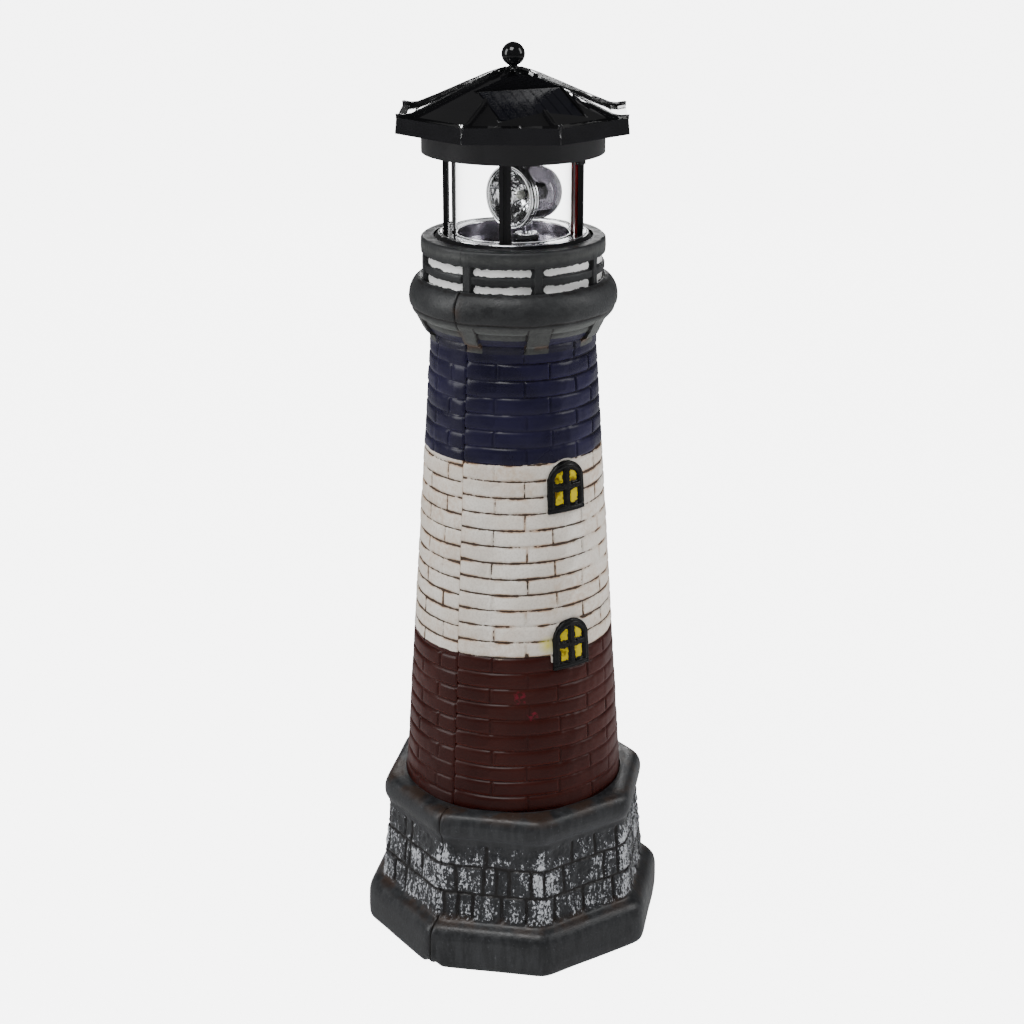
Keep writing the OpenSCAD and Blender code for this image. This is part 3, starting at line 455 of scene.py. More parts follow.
def store_mark(mesh, label, values):
    """Keeps one number for each point of a mesh, which an Attribute node can read."""
    mesh.attributes.new(label, "FLOAT", "POINT").data.foreach_set("value", values)


def half_ring(name, outer, inner, marks, made, stands_for):
    """A closed half ring: outer rows go up the outside, inner rows come back down the inside."""
    grid = np.concatenate([outer, inner])
    rows, cols = grid.shape[:2]
    index = np.arange(rows * cols).reshape(rows, cols)
    above = np.roll(index, -1, axis=0)
    quads = np.stack([index[:, :-1], index[:, 1:], above[:, 1:], above[:, :-1]], axis=-1).reshape(-1, 4)
    ends = [index[::-1, 0].tolist(), index[:, -1].tolist()]
    mesh = bpy.data.meshes.new(name)
    mesh.from_pydata((grid.reshape(-1, 3) * MM).tolist(), [], quads.tolist() + ends)
    for label, values in marks.items():
        full = np.zeros((rows, cols), np.float32)
        full[:len(outer)] = values
        store_mark(mesh, label, full.ravel())
    shell = bmesh.new()
    shell.from_mesh(mesh)
    bmesh.ops.remove_doubles(shell, verts=shell.verts, dist=WELD_GAP)
    return place_piece(name, keep_shell(shell, mesh), made, "tower", stands_for)


def column_turns(base, widest, start):
    """Column turns from seam to seam: the marked ones, then more where they leave a wide gap."""
    marked = sorted(t for t in base if start + 0.02 < t < start + HALF_TURN - 0.02)
    turns = [start]
    for turn in marked + [start + HALF_TURN]:
        gap = turn - turns[-1]
        steps = max(1, math.ceil(gap / widest))
        turns += [turns[-1] + gap * k / steps for k in range(1, steps)]
        turns.append(turn)
    return np.array(turns)


def beside_seam(start, steps):
    """Turns a few small steps inside either seam."""
    return [start + step for step in steps] + [start + HALF_TURN - step for step in steps]


def from_seam(turn_grid, start, radius):
    """Distance in mm from the nearer seam."""
    return arc(np.minimum(turn_grid - start, start + HALF_TURN - turn_grid), radius)


def seam_hold(grid, start, radius):
    """Pulls the two end columns back to just beside the seam plane."""
    slack = np.degrees(SEAM_GAP / radius)
    for column, turn in ((0, start + slack), (-1, start + HALF_TURN - slack)):
        edge = grid[:, column]
        grid[:, column] = turned(np.hypot(edge[:, 0], edge[:, 1]), turn, edge[:, 2])
    return grid


print("the seams lie at", SEAM, "and", SEAM + HALF_TURN, "degrees")

# %% [markdown]
# ## Paint of the tower
# The casting is dipped dark, painted in three bands, and then washed and dry-brushed, so
# dark paint stays in the joints and white catches only on the peaks. The meshes carry
# marks that say where, and noise breaks up their edges. Dark paints are easier to read in
# thousandths of white.


# %% Paint helpers
def tone(red, green, blue):
    """A colour given in thousandths of white."""
    return (red / 1000, green / 1000, blue / 1000, 1)


def mark(tree, label):
    return add(tree, "Attribute", attribute_name=label, attribute_type="GEOMETRY").outputs["Fac"]


def near_spot(tree, place, spot, reach):
    """1 at a spot given in mm and 0 beyond its reach, for single smears of paint."""
    centre = tuple(v * MM for v in spot)
    away = add(tree, "VectorMath", {0: place, 1: centre}, operation="DISTANCE").outputs["Value"]
    return add(tree, "MapRange", {0: away, 1: reach * MM, 2: 0.0}).outputs[0]


print("a tone", tone(10, 10.5, 11.5))

# %% [markdown]
# ## The bands' colours
# The lower band is red brown, with two bright flecks where a brush slipped. The upper band
# is navy. The edges between bands wander by a millimetre or so, as a hand-held brush does,
# so the height is bent by a noise before it is compared.

# %% Red and navy paint
RED_TOP, WHITE_TOP = 178.2, 283.8
BAND_BLUR = 0.0002
FLECKS = (((-28.2, -47.2, 155.7), 5.5), ((-22.5, -51.6, 145.6), 4.5))
RED_TONES = tone(19, 2.6, 1.6), tone(29, 4.6, 2.9)
NAVY_TONES = tone(5, 4.4, 12.5), tone(10, 8.6, 26)
FLECK_TONE, JOINT_SHADE = tone(115, 5, 14), tone(4, 2.8, 3.2)


def band_shares(tree, place, wave):
    """How far a point is above the red band, and how far above the white one."""
    height = add(tree, "SeparateXYZ", {0: place}).outputs[2]
    level = scaled(tree, wave, 0.0030, math_node(tree, "SUBTRACT", height, 0.0015))
    return [over(tree, 1.0, level, top * MM - BAND_BLUR, top * MM + BAND_BLUR)
            for top in (RED_TOP, WHITE_TOP)]


def dark_bands(tree, place, patch, speck, blue_share, hollow):
    """Red brown with its flecks below and navy above, both a little darker in the joints."""
    red = blend(tree, patch, *RED_TONES)
    fleck = math_node(tree, "MAXIMUM", *[near_spot(tree, place, *spot) for spot in FLECKS])
    red = blend(tree, over(tree, 0.85, times(tree, fleck, speck), 0.12, 0.4), red, FLECK_TONE)
    colour = blend(tree, blue_share, red, blend(tree, patch, *NAVY_TONES))
    dark = broken_wash(tree, hollow, 260.0, 0.35, 0.2)
    dark = times(tree, dark, scaled(tree, blue_share, 0.4, 0.15))
    return blend(tree, dark, colour, JOINT_SHADE)


print("bands end at", RED_TOP, "and", WHITE_TOP, "mm")

# %% [markdown]
# ## The white band
# Off-white paint under a brown wash. The wash ran into the joints and was wiped off the
# faces, which left it broken, with a warm stain beside it and fine dust all over.

# %% White paint
WHITE_TONES = tone(700, 645, 570), tone(825, 785, 720)
DUST_TONE, STAIN_TONE, WARM_TONE = tone(430, 385, 325), tone(520, 380, 265), tone(430, 260, 150)
WASH_TONE, YELLOW_TONE = tone(34, 19, 12), tone(620, 560, 60)
SMEAR, SMEAR_REACH = (-13.8, -52.5, 184.6), 6


def white_band(tree, place, patch, speck, hollow):
    """Washed and stained off-white, with a smear of window yellow."""
    run = patches(tree, 75.0, 0.38, 0.66, 7.0)
    white = blend(tree, patch, *WHITE_TONES)
    dust = patches(tree, 950.0, 0.42, 0.66, 6.0)
    white = blend(tree, times(tree, dust, 0.3), white, DUST_TONE)
    stain = times(tree, patches(tree, 30.0, 0.4, 0.72, 5.0), scaled(tree, speck, 0.5, 0.2))
    white = blend(tree, stain, white, STAIN_TONE)
    warm = times(tree, over(tree, 0.9, hollow, 0.0, 0.3), run)
    white = blend(tree, warm, white, WARM_TONE)
    left = broken_wash(tree, hollow, 330.0, scaled(tree, run, 0.32, 0.4), 0.12)
    white = blend(tree, times(tree, left, 0.95), white, WASH_TONE)
    yellow = times(tree, near_spot(tree, place, SMEAR, SMEAR_REACH), 0.9)
    return blend(tree, yellow, white, YELLOW_TONE)


def brick_paint():
    """Three painted bands on brick. White also edges the windows, where their halo is."""
    made, tree, shader = new_finish("brick paint")
    place = object_place(tree)
    hollow, halo = mark(tree, "hollow"), mark(tree, "halo")
    wave = add(tree, "TexNoise", {"Vector": place, "Scale": 90.0, "Detail": 4.0}).outputs[0]
    above_red, blue_share = band_shares(tree, place, wave)
    in_white = times(tree, above_red, math_node(tree, "SUBTRACT", 1.0, blue_share))
    edging = over(tree, 1.0, scaled(tree, wave, 0.5, halo), 0.85, 1.0)
    in_white = math_node(tree, "MAXIMUM", in_white, edging)
    patch = patches(tree, 45.0, 0.3, 0.7)
    speck = patches(tree, 420.0, 0.35, 0.7, 2.0)
    dark = dark_bands(tree, place, patch, speck, blue_share, hollow)
    colour = blend(tree, in_white, dark, white_band(tree, place, patch, speck, hollow))
    rough = scaled(tree, in_white, 0.3, scaled(tree, above_red, -0.06, 0.32))
    rough = scaled(tree, patch, 0.06, rough)
    surface(tree, shader, colour, rough, grain(tree, 300.0), 0.06)
    shader.inputs["Specular IOR Level"].default_value = 0.22
    return made


BRICK = brick_paint()
print(BRICK.name, "nodes", len(BRICK.node_tree.nodes))

# %% [markdown]
# ## The stone's paint
# Charcoal, with a black wash in the joints and rust brown in the crevices. White was then
# dragged over with a nearly dry brush, so it sits only where the peak mark is high and
# tears into short upright hairs. Under the moulding the peak mark is cut back as painted shade.

# %% Stone paint
STONE_TONES = tone(10, 10.5, 11.5), tone(17.5, 18.5, 20)
STONE_STREAK, STONE_WASH, STONE_RUST = tone(50, 52, 56), tone(3.5, 2.6, 2.4), tone(34, 19, 12)
BRUSH_GREY, BRUSH_WHITE = tone(85, 90, 102), tone(560, 575, 610)


def stone_paint():
    """Charcoal stone with white dry-brushed on its peaks and rust brown in the crevices."""
    made, tree, shader = new_finish("stone paint")
    streak = streaks(tree, 260.0, 0.25, 0.4, 0.62)
    base = blend(tree, patches(tree, 40.0, 0.3, 0.7), *STONE_TONES)
    base = blend(tree, times(tree, streak, 0.3), base, STONE_STREAK)
    left = broken_wash(tree, mark(tree, "hollow"), 200.0, 0.62, 0.2)
    base = blend(tree, times(tree, left, 0.95), base, STONE_WASH)
    rust = times(tree, patches(tree, 70.0, 0.42, 0.6, 9.0), mark(tree, "rust"))
    base = blend(tree, times(tree, rust, 0.8), base, STONE_RUST)
    crisp = streaks(tree, 1000.0, 0.6, 0.3, 0.7)
    drag = streaks(tree, 520.0, 0.16, 0.3, 0.7)
    brush = scaled(tree, drag, 0.45, times(tree, crisp, 0.75))
    peak = mark(tree, "peak")
    level = math_node(tree, "ADD", peak, math_node(tree, "SUBTRACT", brush, 0.6))
    base = blend(tree, over(tree, 0.35, level, 0.3, 0.5), base, BRUSH_GREY)
    base = blend(tree, over(tree, 0.95, level, 0.56, 0.64), base, BRUSH_WHITE)
    bumpy = over(tree, 0.75, peak, 0.0, 0.3)
    rise = times(tree, grain(tree, 620.0, 6.0), math_node(tree, "ADD", bumpy, 0.2))
    surface(tree, shader, base, scaled(tree, streak, 0.12, 0.33), rise, 0.6)
    shader.inputs["Specular IOR Level"].default_value = 0.35
    return made


STONE = stone_paint()
print(STONE.name, "nodes", len(STONE.node_tree.nodes))

# %% [markdown]
# ## The gallery's paint
# The same charcoal, brushed round the gallery instead of up it. The slots of the rail are
# filled with thick white that spills over their edges, and navy from the top band laps
# over the gallery's foot.

# %% Gallery paint
RING_TONES = tone(10, 10.5, 11.5), tone(17, 18, 19)
RING_STREAK, RING_PALE, RING_WASH = tone(40, 43, 44), tone(80, 84, 80), tone(5, 4, 4)
RING_RUST, FOOT_NAVY, SLOT_WHITE = tone(52, 29, 18), tone(6, 5.2, 15), tone(940, 940, 930)


def gallery_paint():
    """Charcoal gallery with brushed streaks, ragged white in the rail's slots and navy at its foot."""
    made, tree, shader = new_finish("gallery paint")
    streak = streaks(tree, 240.0, 1.6, 0.4, 0.66)
    base = blend(tree, patches(tree, 40.0, 0.3, 0.7), *RING_TONES)
    base = blend(tree, times(tree, streak, 0.22), base, RING_STREAK)
    brushed = times(tree, mark(tree, "pale"), scaled(tree, streak, 0.4, 0.6))
    base = blend(tree, brushed, base, RING_PALE)
    left = broken_wash(tree, mark(tree, "hollow"), 200.0, 0.55, 0.2)
    base = blend(tree, times(tree, left, 0.85), base, RING_WASH)
    rust = times(tree, patches(tree, 80.0, 0.42, 0.58, 4.0), mark(tree, "rust"))
    base = blend(tree, times(tree, rust, 0.8), base, RING_RUST)
    ragged = streaks(tree, 250.0, 1.4, 0.25, 0.75)
    navy = over(tree, 1.0, scaled(tree, ragged, 0.3, mark(tree, "navy")), 0.6, 0.75)
    base = blend(tree, navy, base, FOOT_NAVY)
    level = scaled(tree, math_node(tree, "SUBTRACT", ragged, 0.5), 0.4, mark(tree, "peak"))
    base = blend(tree, over(tree, 0.96, level, 0.46, 0.54), base, SLOT_WHITE)
    surface(tree, shader, base, scaled(tree, streak, 0.12, 0.4), grain(tree, 760.0, 5.0), 0.22)
    shader.inputs["Specular IOR Level"].default_value = 0.35
    return made


GALLERY = gallery_paint()
print(GALLERY.name, "nodes", len(GALLERY.node_tree.nodes))

# %% [markdown]
# ## The brick courses
# Courses are 8.8 mm high. The two halves' joints were read from the photograph as turns
# from the camera; the rear half sits 2.7 mm lower, as misregistered castings do. Each
# joint gets its own columns of points, and each course its own rows, so the grooves can
# be real hollows in the mesh with round shoulders.

# %% Courses and columns
BASE_Z, NECK_Z, FOOT_R, NECK_R = 90.2, 341.7, 60.7, 44.0
COURSE, COURSES, WALL, UNDER_BASE = 8.8, 30, 3.0, 2.5
COURSE_DROP = 2.7
FRONT_JOINTS = ((7.7, 45.3, 82.9, 120.5), (-12, 25.4, 62.8, 100.2, 137.6))
REAR_JOINTS = ((150.5, 187, 224, 261, 298), (166.5, 203.5, 240.5, 277.5, 314.5))
ACROSS_GROOVE = (-1.8, -0.9, -0.28, 0.28, 0.9, 1.8)
UP_COURSE = (-0.25, 0.25, 0.75, 1.6, 3.2, 5.6, 7.2, 8.05)
WINDOW_COLUMNS = np.arange(-17, 17, 0.8)


def wall_radius(height):
    return FOOT_R + (NECK_R - FOOT_R) * (height - BASE_Z) / (NECK_Z - BASE_Z)


def course_rows(drop):
    """Heights of the rows, the course each is in, and how far up that course it is."""
    rows = [(BASE_Z - UNDER_BASE, 0, 4.0)]
    for course in range(COURSES):
        for offset in UP_COURSE:
            height = BASE_Z - drop + course * COURSE + offset
            if BASE_Z - 1 < height < NECK_Z - 0.4:
                rows.append((height, course, offset))
    rows.append((NECK_Z, COURSES - 1, 4.0))
    levels, courses, offsets = zip(*rows)
    return np.array(levels), np.array(courses), np.array(offsets)


def brick_columns(joint_turns, start, with_windows):
    """Turns of the columns: six at each joint, a few at the seams and many at the windows."""
    marked = [turn + step for row in joint_turns for turn in row for step in ACROSS_GROOVE]
    marked += beside_seam(start, (0.5, 1.0, 1.6))
    marked += list(WINDOW_COLUMNS) if with_windows else []
    return column_turns(marked, 2.4, start)


print("rows", len(course_rows(0.0)[0]), "of points up the shaft")

# %% [markdown]
# ## Joints and window halos
# The joints between bricks aren't quite upright: each course is shifted a little against
# the next but one. The windows were glued on, and white paint fills the corner round them,
# so the distance from each window's outline becomes a mark of its own.

# %% Joints and halos
WINDOW_W, WINDOW_H = 22.5, 27.2
WINDOW_SPANS = ((170.2, 197.4), (256.8, 284.0))
JOINT_SHIFT, SHIFT_REACH, JOINT_WIDE = 0.9, 3.4, 0.6


def upright_joints(joint_turns, courses, turn_grid, level_grid):
    """The columns bent along with their joints, and the hollows of these joints."""
    upright = np.zeros_like(turn_grid)
    for row, row_turns in enumerate(joint_turns):
        in_row = (courses % 2 == row)[:, None]
        for number, turn in enumerate(row_turns):
            shift = JOINT_SHIFT * np.sin(courses * 2.4 + 1.7 * number)[:, None]
            near = np.clip(1 - np.abs(turn_grid - turn) / SHIFT_REACH, 0, 1)
            turn_grid = turn_grid + shift * near * in_row
            away = arc(turn_grid - turn - shift, wall_radius(level_grid))
            upright = np.maximum(upright, bump_line(away, JOINT_WIDE) * in_row)
    return turn_grid, upright


def window_halo(turn_grid, level_grid):
    """1 at the outline of a window and 0 from two millimetres away."""
    across = arc(np.abs((turn_grid + 180) % 360 - 180), wall_radius(level_grid))
    half = WINDOW_W / 2
    nearest = np.full_like(level_grid, 9.0)
    for low, high in WINDOW_SPANS:
        top = high - half + np.sqrt(np.maximum(half ** 2 - across ** 2, 0))
        gap = np.maximum(across - half, np.maximum(low + 5 - level_grid, level_grid - top))
        nearest = np.minimum(nearest, gap)
    return np.clip(1.5 - nearest / 1.4, 0, 1)


print("windows from", WINDOW_SPANS[0][0], "to", WINDOW_SPANS[1][1], "mm")

# %% [markdown]
# ## The brick shaft
# Now the shaft itself. Thick paint has filled the joints of the white band, so they are
# shallower there. Slow noise bends the courses and fine noise roughens the faces. A nick
# in one white brick is in the photograph, so it is here too.

# %% Brick shaft
LINE_WIDE, LINE_END = 0.75, 7.8
GROOVE_DEEP, PAINT_FILL, SEAM_DEEP, NICK_DEEP = 1.15, 0.4, 0.5, 0.5
NICK_TURN, NICK_Z = 7.7, 179.6
BRICK_NOISE, BRICK_SUNK = ((0.25, 7, 1), (0.18, 3, 2)), 0.2


def brick_half(name, joints, drop, start, stands_for):
    """One half of the shaft, from seam to seam."""
    joint_turns = [[cam + VIEW_TURN for cam in row] for row in joints]
    has_windows = stands_for == "shell_front"
    turns = brick_columns(joint_turns, start, has_windows)
    levels, courses, offsets = course_rows(drop)
    turn_grid, level_grid = np.meshgrid(turns, levels)
    rough = turned(wall_radius(level_grid), turn_grid, level_grid)
    edge = from_seam(turn_grid, start, wall_radius(level_grid))
    in_line = np.abs(np.where(offsets > LINE_END, offsets - COURSE, offsets))[:, None]
    line = bump_line(in_line, LINE_WIDE) * np.ones_like(turn_grid)
    turn_grid, upright = upright_joints(joint_turns, courses, turn_grid, level_grid)
    keep = 0.75 + 0.45 * cloud(rough, 22, 3)
    hollow = np.clip(np.maximum(line, 0.8 * upright) * keep, 0, 1)
    free = ((levels > BASE_Z) & (levels < NECK_Z - 3))[:, None]
    wavy = level_grid + 0.35 * cloud(rough, 26, 5) * free
    skin = turned(wall_radius(wavy), turn_grid, wavy)
    in_white = np.clip((level_grid - RED_TOP) / 3, 0, 1) * np.clip((WHITE_TOP - level_grid) / 3, 0, 1)
    crack = bump_line(edge, 0.55) * (1 - 0.8 * in_white)
    from_nick = np.hypot((turn_grid - NICK_TURN - VIEW_TURN) * 0.95, (level_grid - NICK_Z) * 0.5)
    nick = bump_line(from_nick, 0.6)
    relief = layers(rough, BRICK_NOISE) - BRICK_SUNK
    relief -= (GROOVE_DEEP - PAINT_FILL * in_white) * hollow
    relief -= SEAM_DEEP * crack
    relief -= NICK_DEEP * nick
    relief[0] = relief[-1] = 0
    outer = pushed(skin, relief)
    inner = turned(np.array([[NECK_R - WALL], [FOOT_R - WALL]]), turns[None, :],
                   np.array([[NECK_Z], [BASE_Z - UNDER_BASE]]))
    grid = seam_hold(np.concatenate([outer, inner]), start, 50)
    halo = window_halo(turn_grid, level_grid) * has_windows
    marks = {"hollow": np.clip(hollow * (1 - halo) + 0.8 * crack + nick, 0, 1), "halo": halo}
    return half_ring(name, grid[:len(outer)], grid[len(outer):], marks, BRICK, stands_for)


shaft_front = brick_half("shaft_front", FRONT_JOINTS, 0.0, SEAM, "shell_front")
shaft_rear = brick_half("shaft_rear", REAR_JOINTS, COURSE_DROP, SEAM + HALF_TURN, "shell_rear")

# %% [markdown]
# ## The stone base
# An eight-sided plinth, a band of rough stones and a heavy moulding. The corners are worn
# round, which a soft minimum of the neighbouring faces gives without any bevel. The
# joints between stones were read from the photograph in front and are drawn by a seeded
# generator behind, where nobody can know them.

# %% Base profile and stone joints
BAND_LOW, BAND_TOP, ROW = 27.0, 73.0, 16.0
STONE_SEED, STONE_LEAST, STONE_MOST, LAST_STONE = 5, 8, 17, 260
CORNER_WEAR = 0.6
PLINTH = [(78, 0), (85.4, 0), (86.7, 2.4), (87, 8), (86.8, 17.5), (85.8, 21.6), (83.4, 24.6), (79.8, 26.4),
          (78.6, 27)]
STONE_JOINTS = ((-30.7, -24.7, -18.1, -5.4, 5.5, 18.5, 33.7, 50),
                (-57.5, -46.9, -26.3, -13.7, -7.8, -1.7, 7.5, 13.8, 23.4, 46.2, 53.4),
                (-56.8, -12.8, 28.6, 41.6))


def eight_sided(corner, turn):
    """Radius of a worn octagon with the given corner radius, at a turn."""
    apothem = corner * math.cos(math.radians(22.5))
    total = 0
    for face in range(-3, 9):
        slant = np.cos(np.radians(turn - 45 * face))
        total = total + np.exp(-CORNER_WEAR * (apothem / np.maximum(slant, 0.3) - corner))
    return corner - np.log(total) / CORNER_WEAR


def stone_joints(turn_grid, radius, level, stray):
    """Hollows of the upright and level joints between stones, over the whole height."""
    rng = np.random.default_rng(STONE_SEED)
    joint = np.zeros_like(radius)
    for row, cams in enumerate(STONE_JOINTS):
        joints = [cam + VIEW_TURN for cam in cams]
        while joints[-1] < LAST_STONE:
            joints.append(joints[-1] + rng.uniform(STONE_LEAST, STONE_MOST))
        foot = BAND_LOW + ROW * row - 0.2
        inside = (level >= foot) & (level < foot + ROW)
        for turn in joints:
            for lap in (0, 360):
                away = arc(turn_grid - turn - lap, radius) + stray
                joint = np.maximum(joint, bump_line(away, 1.25) * inside)
    for row in (1, 2):
        joint = np.maximum(joint, bump_line(level - BAND_LOW - ROW * row + 0.6 * stray, 1.15))
    return joint


def dry_brush_and_shade(skin, turn_grid, level):
    """How far the dry-brushed white reaches, more on the corners, and cut back near the top of the band under
    the moulding as painted shade.
    """
    cam = turn_grid - VIEW_TURN
    corner = np.abs((cam - 12 + 22.5) % 45 - 22.5)
    white_reach = 0.37 + 0.24 * cloud(skin, 11, 7) + 0.22 * bump_line(corner, 3.2)
    # painted shade: the white is cut back near the top of the band, under the moulding
    return white_reach - 0.22 * np.clip((level - 62) / 6, 0, 1)


print("stone rows", len(STONE_JOINTS), "of", ROW, "mm")

# %% [markdown]
# ## The stone base
# The section runs up the plinth, the band and the round moulding. The stones get three
# sizes of noise, and the joints cut deep between them. Inside, the casting follows the
# outside at an even wall, as it does when resin is swilled round a mould.

# %% Stone base
MOULDING = ellipse((71.2, 81.6), 5.4, 8.2, -62, 78, 12)
SECTION = PLINTH + [(74.2, 73)] + MOULDING + [(68.6, 90.2), (66, 90.2)]
INSIDE = np.array([(70.8, 86.6), (70.8, 73), (75.2, 25.5), (83.6, 19), (83.6, 2.6)])
UNDERSIDE, RIM, PLUG_EDGE = [(12, 1.2), (15, 1.2), (15, 0)], [(60.9, 90.2), (60.9, 86.6)], [(12, 2.6)]
STONE_DEEP, STONE_SUNK, CRACK_DEEP, NOTCH_DEEP = 1.6, 0.7, 0.7, 2.2
STONE_NOISE = ((0.35, 8, 2), (0.45, 3.2, 3), (0.45, 1.7, 4))


def round_rows(points, turns):
    """Rows of a grid for round parts, from (radius, height) points."""
    rows = np.array(points)
    return turned(rows[:, :1], turns[None, :], rows[:, 1:])


def base_half(name, start, stands_for):
    """One half of the eight-sided base, from seam to seam."""
    path = soft_path(SECTION, 0.8, 3)
    turns = column_turns(beside_seam(start, (0.2, 0.4)), 0.6, start)
    turn_grid, row_grid = np.meshgrid(turns, np.arange(len(path)))
    radius, level = path[row_grid, 0], path[row_grid, 1]
    skin = turned(eight_sided(radius, turn_grid), turn_grid, level)
    stray = 0.7 * cloud(skin, 6, 1)
    in_band = np.clip((level - BAND_LOW) / 2, 0, 1) * np.clip((BAND_TOP - level) / 2, 0, 1)
    joint = stone_joints(turn_grid, radius, level, stray) * in_band
    rough = layers(skin, STONE_NOISE)
    relief = in_band * (rough - STONE_SUNK) * (1 - joint) - STONE_DEEP * joint
    relief += (1 - in_band) * (0.2 * cloud(skin, 16, 6) - 0.25)
    edge = from_seam(turn_grid, start, radius)
    crack = bump_line(edge, 0.55)
    relief -= CRACK_DEEP * crack
    relief -= NOTCH_DEEP * bump_line(edge - 2.5, 2.5) * np.clip(1 - level / 6, 0, 1)
    relief[0] = relief[-1] = 0
    outer = pushed(skin, relief)
    outer[..., 2] = np.maximum(outer[..., 2], 0)
    under = round_rows(UNDERSIDE, turns)
    hollow = turned(eight_sided(INSIDE[:, :1], turns[None, :]), turns[None, :], INSIDE[:, 1:])
    inner = np.concatenate([round_rows(RIM, turns), hollow, round_rows(PLUG_EDGE, turns)])
    outer = np.concatenate([under, outer])
    lip = bump_line(joint - 0.3, 0.25) * 0.1
    # the white's reach, with the painted shade under the moulding in it; the peak mark carries both
    white_reach = dry_brush_and_shade(skin, turn_grid, level) + 0.3 * rough + lip
    peak = np.clip(white_reach, 0, 1) * (1 - joint) * in_band
    pad = ((len(under), 0), (0, 0))
    near_top = np.clip(1 - np.abs(level - 90) / 5, 0, 1) + np.clip(1 - np.abs(level - 27) / 4, 0, 1)
    marks = {"hollow": np.pad(np.clip(joint + crack, 0, 1), pad), "peak": np.pad(peak, pad),
             "rust": np.pad(np.clip(near_top, 0, 1), pad)}
    grid = seam_hold(np.concatenate([outer, inner]), start, 70)
    return half_ring(name, grid[:len(outer)], grid[len(outer):], marks, STONE, stands_for)


base_front = base_half("base_front", SEAM, "shell_front")
base_rear = base_half("base_rear", SEAM + HALF_TURN, "shell_rear")

# %% [markdown]
# ## The gallery
# A flare with eight corbels, a round platform, and a wall with two rows of slots between
# posts. The wall's inside is the socket that the lantern drops into. Posts and corbels
# are steps in one grid, so the casting stays one skin; close columns stand at their edges.

# %% Gallery profile
FLARE = [(44, 341.7), (44.4, 343.7), (45.6, 347.7), (48.8, 351.7)]
RAIL = [(46.4, 373.3), (46.4, 377.5), (47.8, 377.9), (47.8, 381.7), (46.4, 382.1), (46.4, 386.3),
        (48.2, 386.9), (48.4, 390.2), (48.2, 394), (47.2, 395.2), (44, 395.2), (41.5, 395.2)]
SOCKET = [(41.5, 391.4), (38.3, 391.4), (38.3, 361.8), (0, 361.8), (0, 359.2), (40.9, 359.2),
          (40.9, 381.7), (43.8, 380.7), (43.8, 374.7), (45.4, 371.1), (51.6, 363.7), (46.4, 356.2),
          (41.4, 344.7), (41.4, 341.7)]
TORUS = ellipse((47, 363.7), 8, 11, -76, 76, 18)
SLOTS, LAST_COURSE = (375.4, 384.2), BASE_Z + 29 * COURSE
POST_STEP, POST_FIRST, POST_HALF, POST_R = 45, 3.5, 2.3, 48.45
POST_EDGES = (-7.8, -7.3, -6.6, -3.3, -2.9, -2.4, 2.4, 2.9, 3.3, 6.6, 7.3, 7.8)
CORBEL_HALF, CORBEL_FOOT, CORBEL_TOP = 6.0, 344.9, 356.5
CORBEL_Z, CORBEL_R = [345.0, 345.6, 348.2, 356.5], [44.2, 46.7, 48.2, 52.6]
POST_ROWS, TORUS_ROWS = 33, 44
LOW_JOINTS = FRONT_JOINTS[0] + REAR_JOINTS[0]


def gallery_columns(centres, start):
    """Turns of the columns, close at posts, seams and brick joints."""
    marked = [c + s for c in centres for s in POST_EDGES] + beside_seam(start, (0.3, 0.6, 1.0, 1.5))
    marked += [cam + VIEW_TURN + s for cam in LOW_JOINTS for s in (-1.4, -0.6, 0, 0.6, 1.4)]
    return column_turns(marked, 1.6, start)


def stepped_radius(radius, level, away, row_grid):
    """The radius with posts and corbels on it, and where the corbels are."""
    post = (away < POST_HALF) & (level > 370.7) & (level < 389.8) & (row_grid > POST_ROWS)
    corbel = (away < CORBEL_HALF) & (level > CORBEL_FOOT) & (level < CORBEL_TOP) & (row_grid < TORUS_ROWS)
    radius = np.where(post, np.maximum(radius, POST_R), radius)
    return np.where(corbel, np.maximum(radius, np.interp(level, CORBEL_Z, CORBEL_R)), radius), corbel


def foot_bricks(skin, turn_grid, level, corbel):
    """Grooves of the last course and its joints, below the platform."""
    brick = bump_line(level - LAST_COURSE - 0.3 * cloud(skin, 9, 5), 0.8)
    for cam in LOW_JOINTS:
        joint = bump_line((turn_grid - cam - VIEW_TURN) * 0.78, 0.7)
        brick = np.maximum(brick, joint * (level < LAST_COURSE))
    return brick * (np.clip(350 - level, 0, 1) * ~corbel)


print("posts", 360 // POST_STEP, "slots at", SLOTS)

# %% [markdown]
# ## The gallery's two halves
# The relief is small here: a seam crack, a crease under the platform and the last course
# of bricks. Five marks tell the paint where the slots are white, where a pale brush went,
# and where rust and navy belong.

# %% Gallery
SEAM_CUT, CREASE_CUT, BRICK_CUT = 0.8, 0.7, 1.3
GALLERY_NOISE, GALLERY_SUNK = ((0.16, 12, 1), (0.1, 4, 2)), 0.25


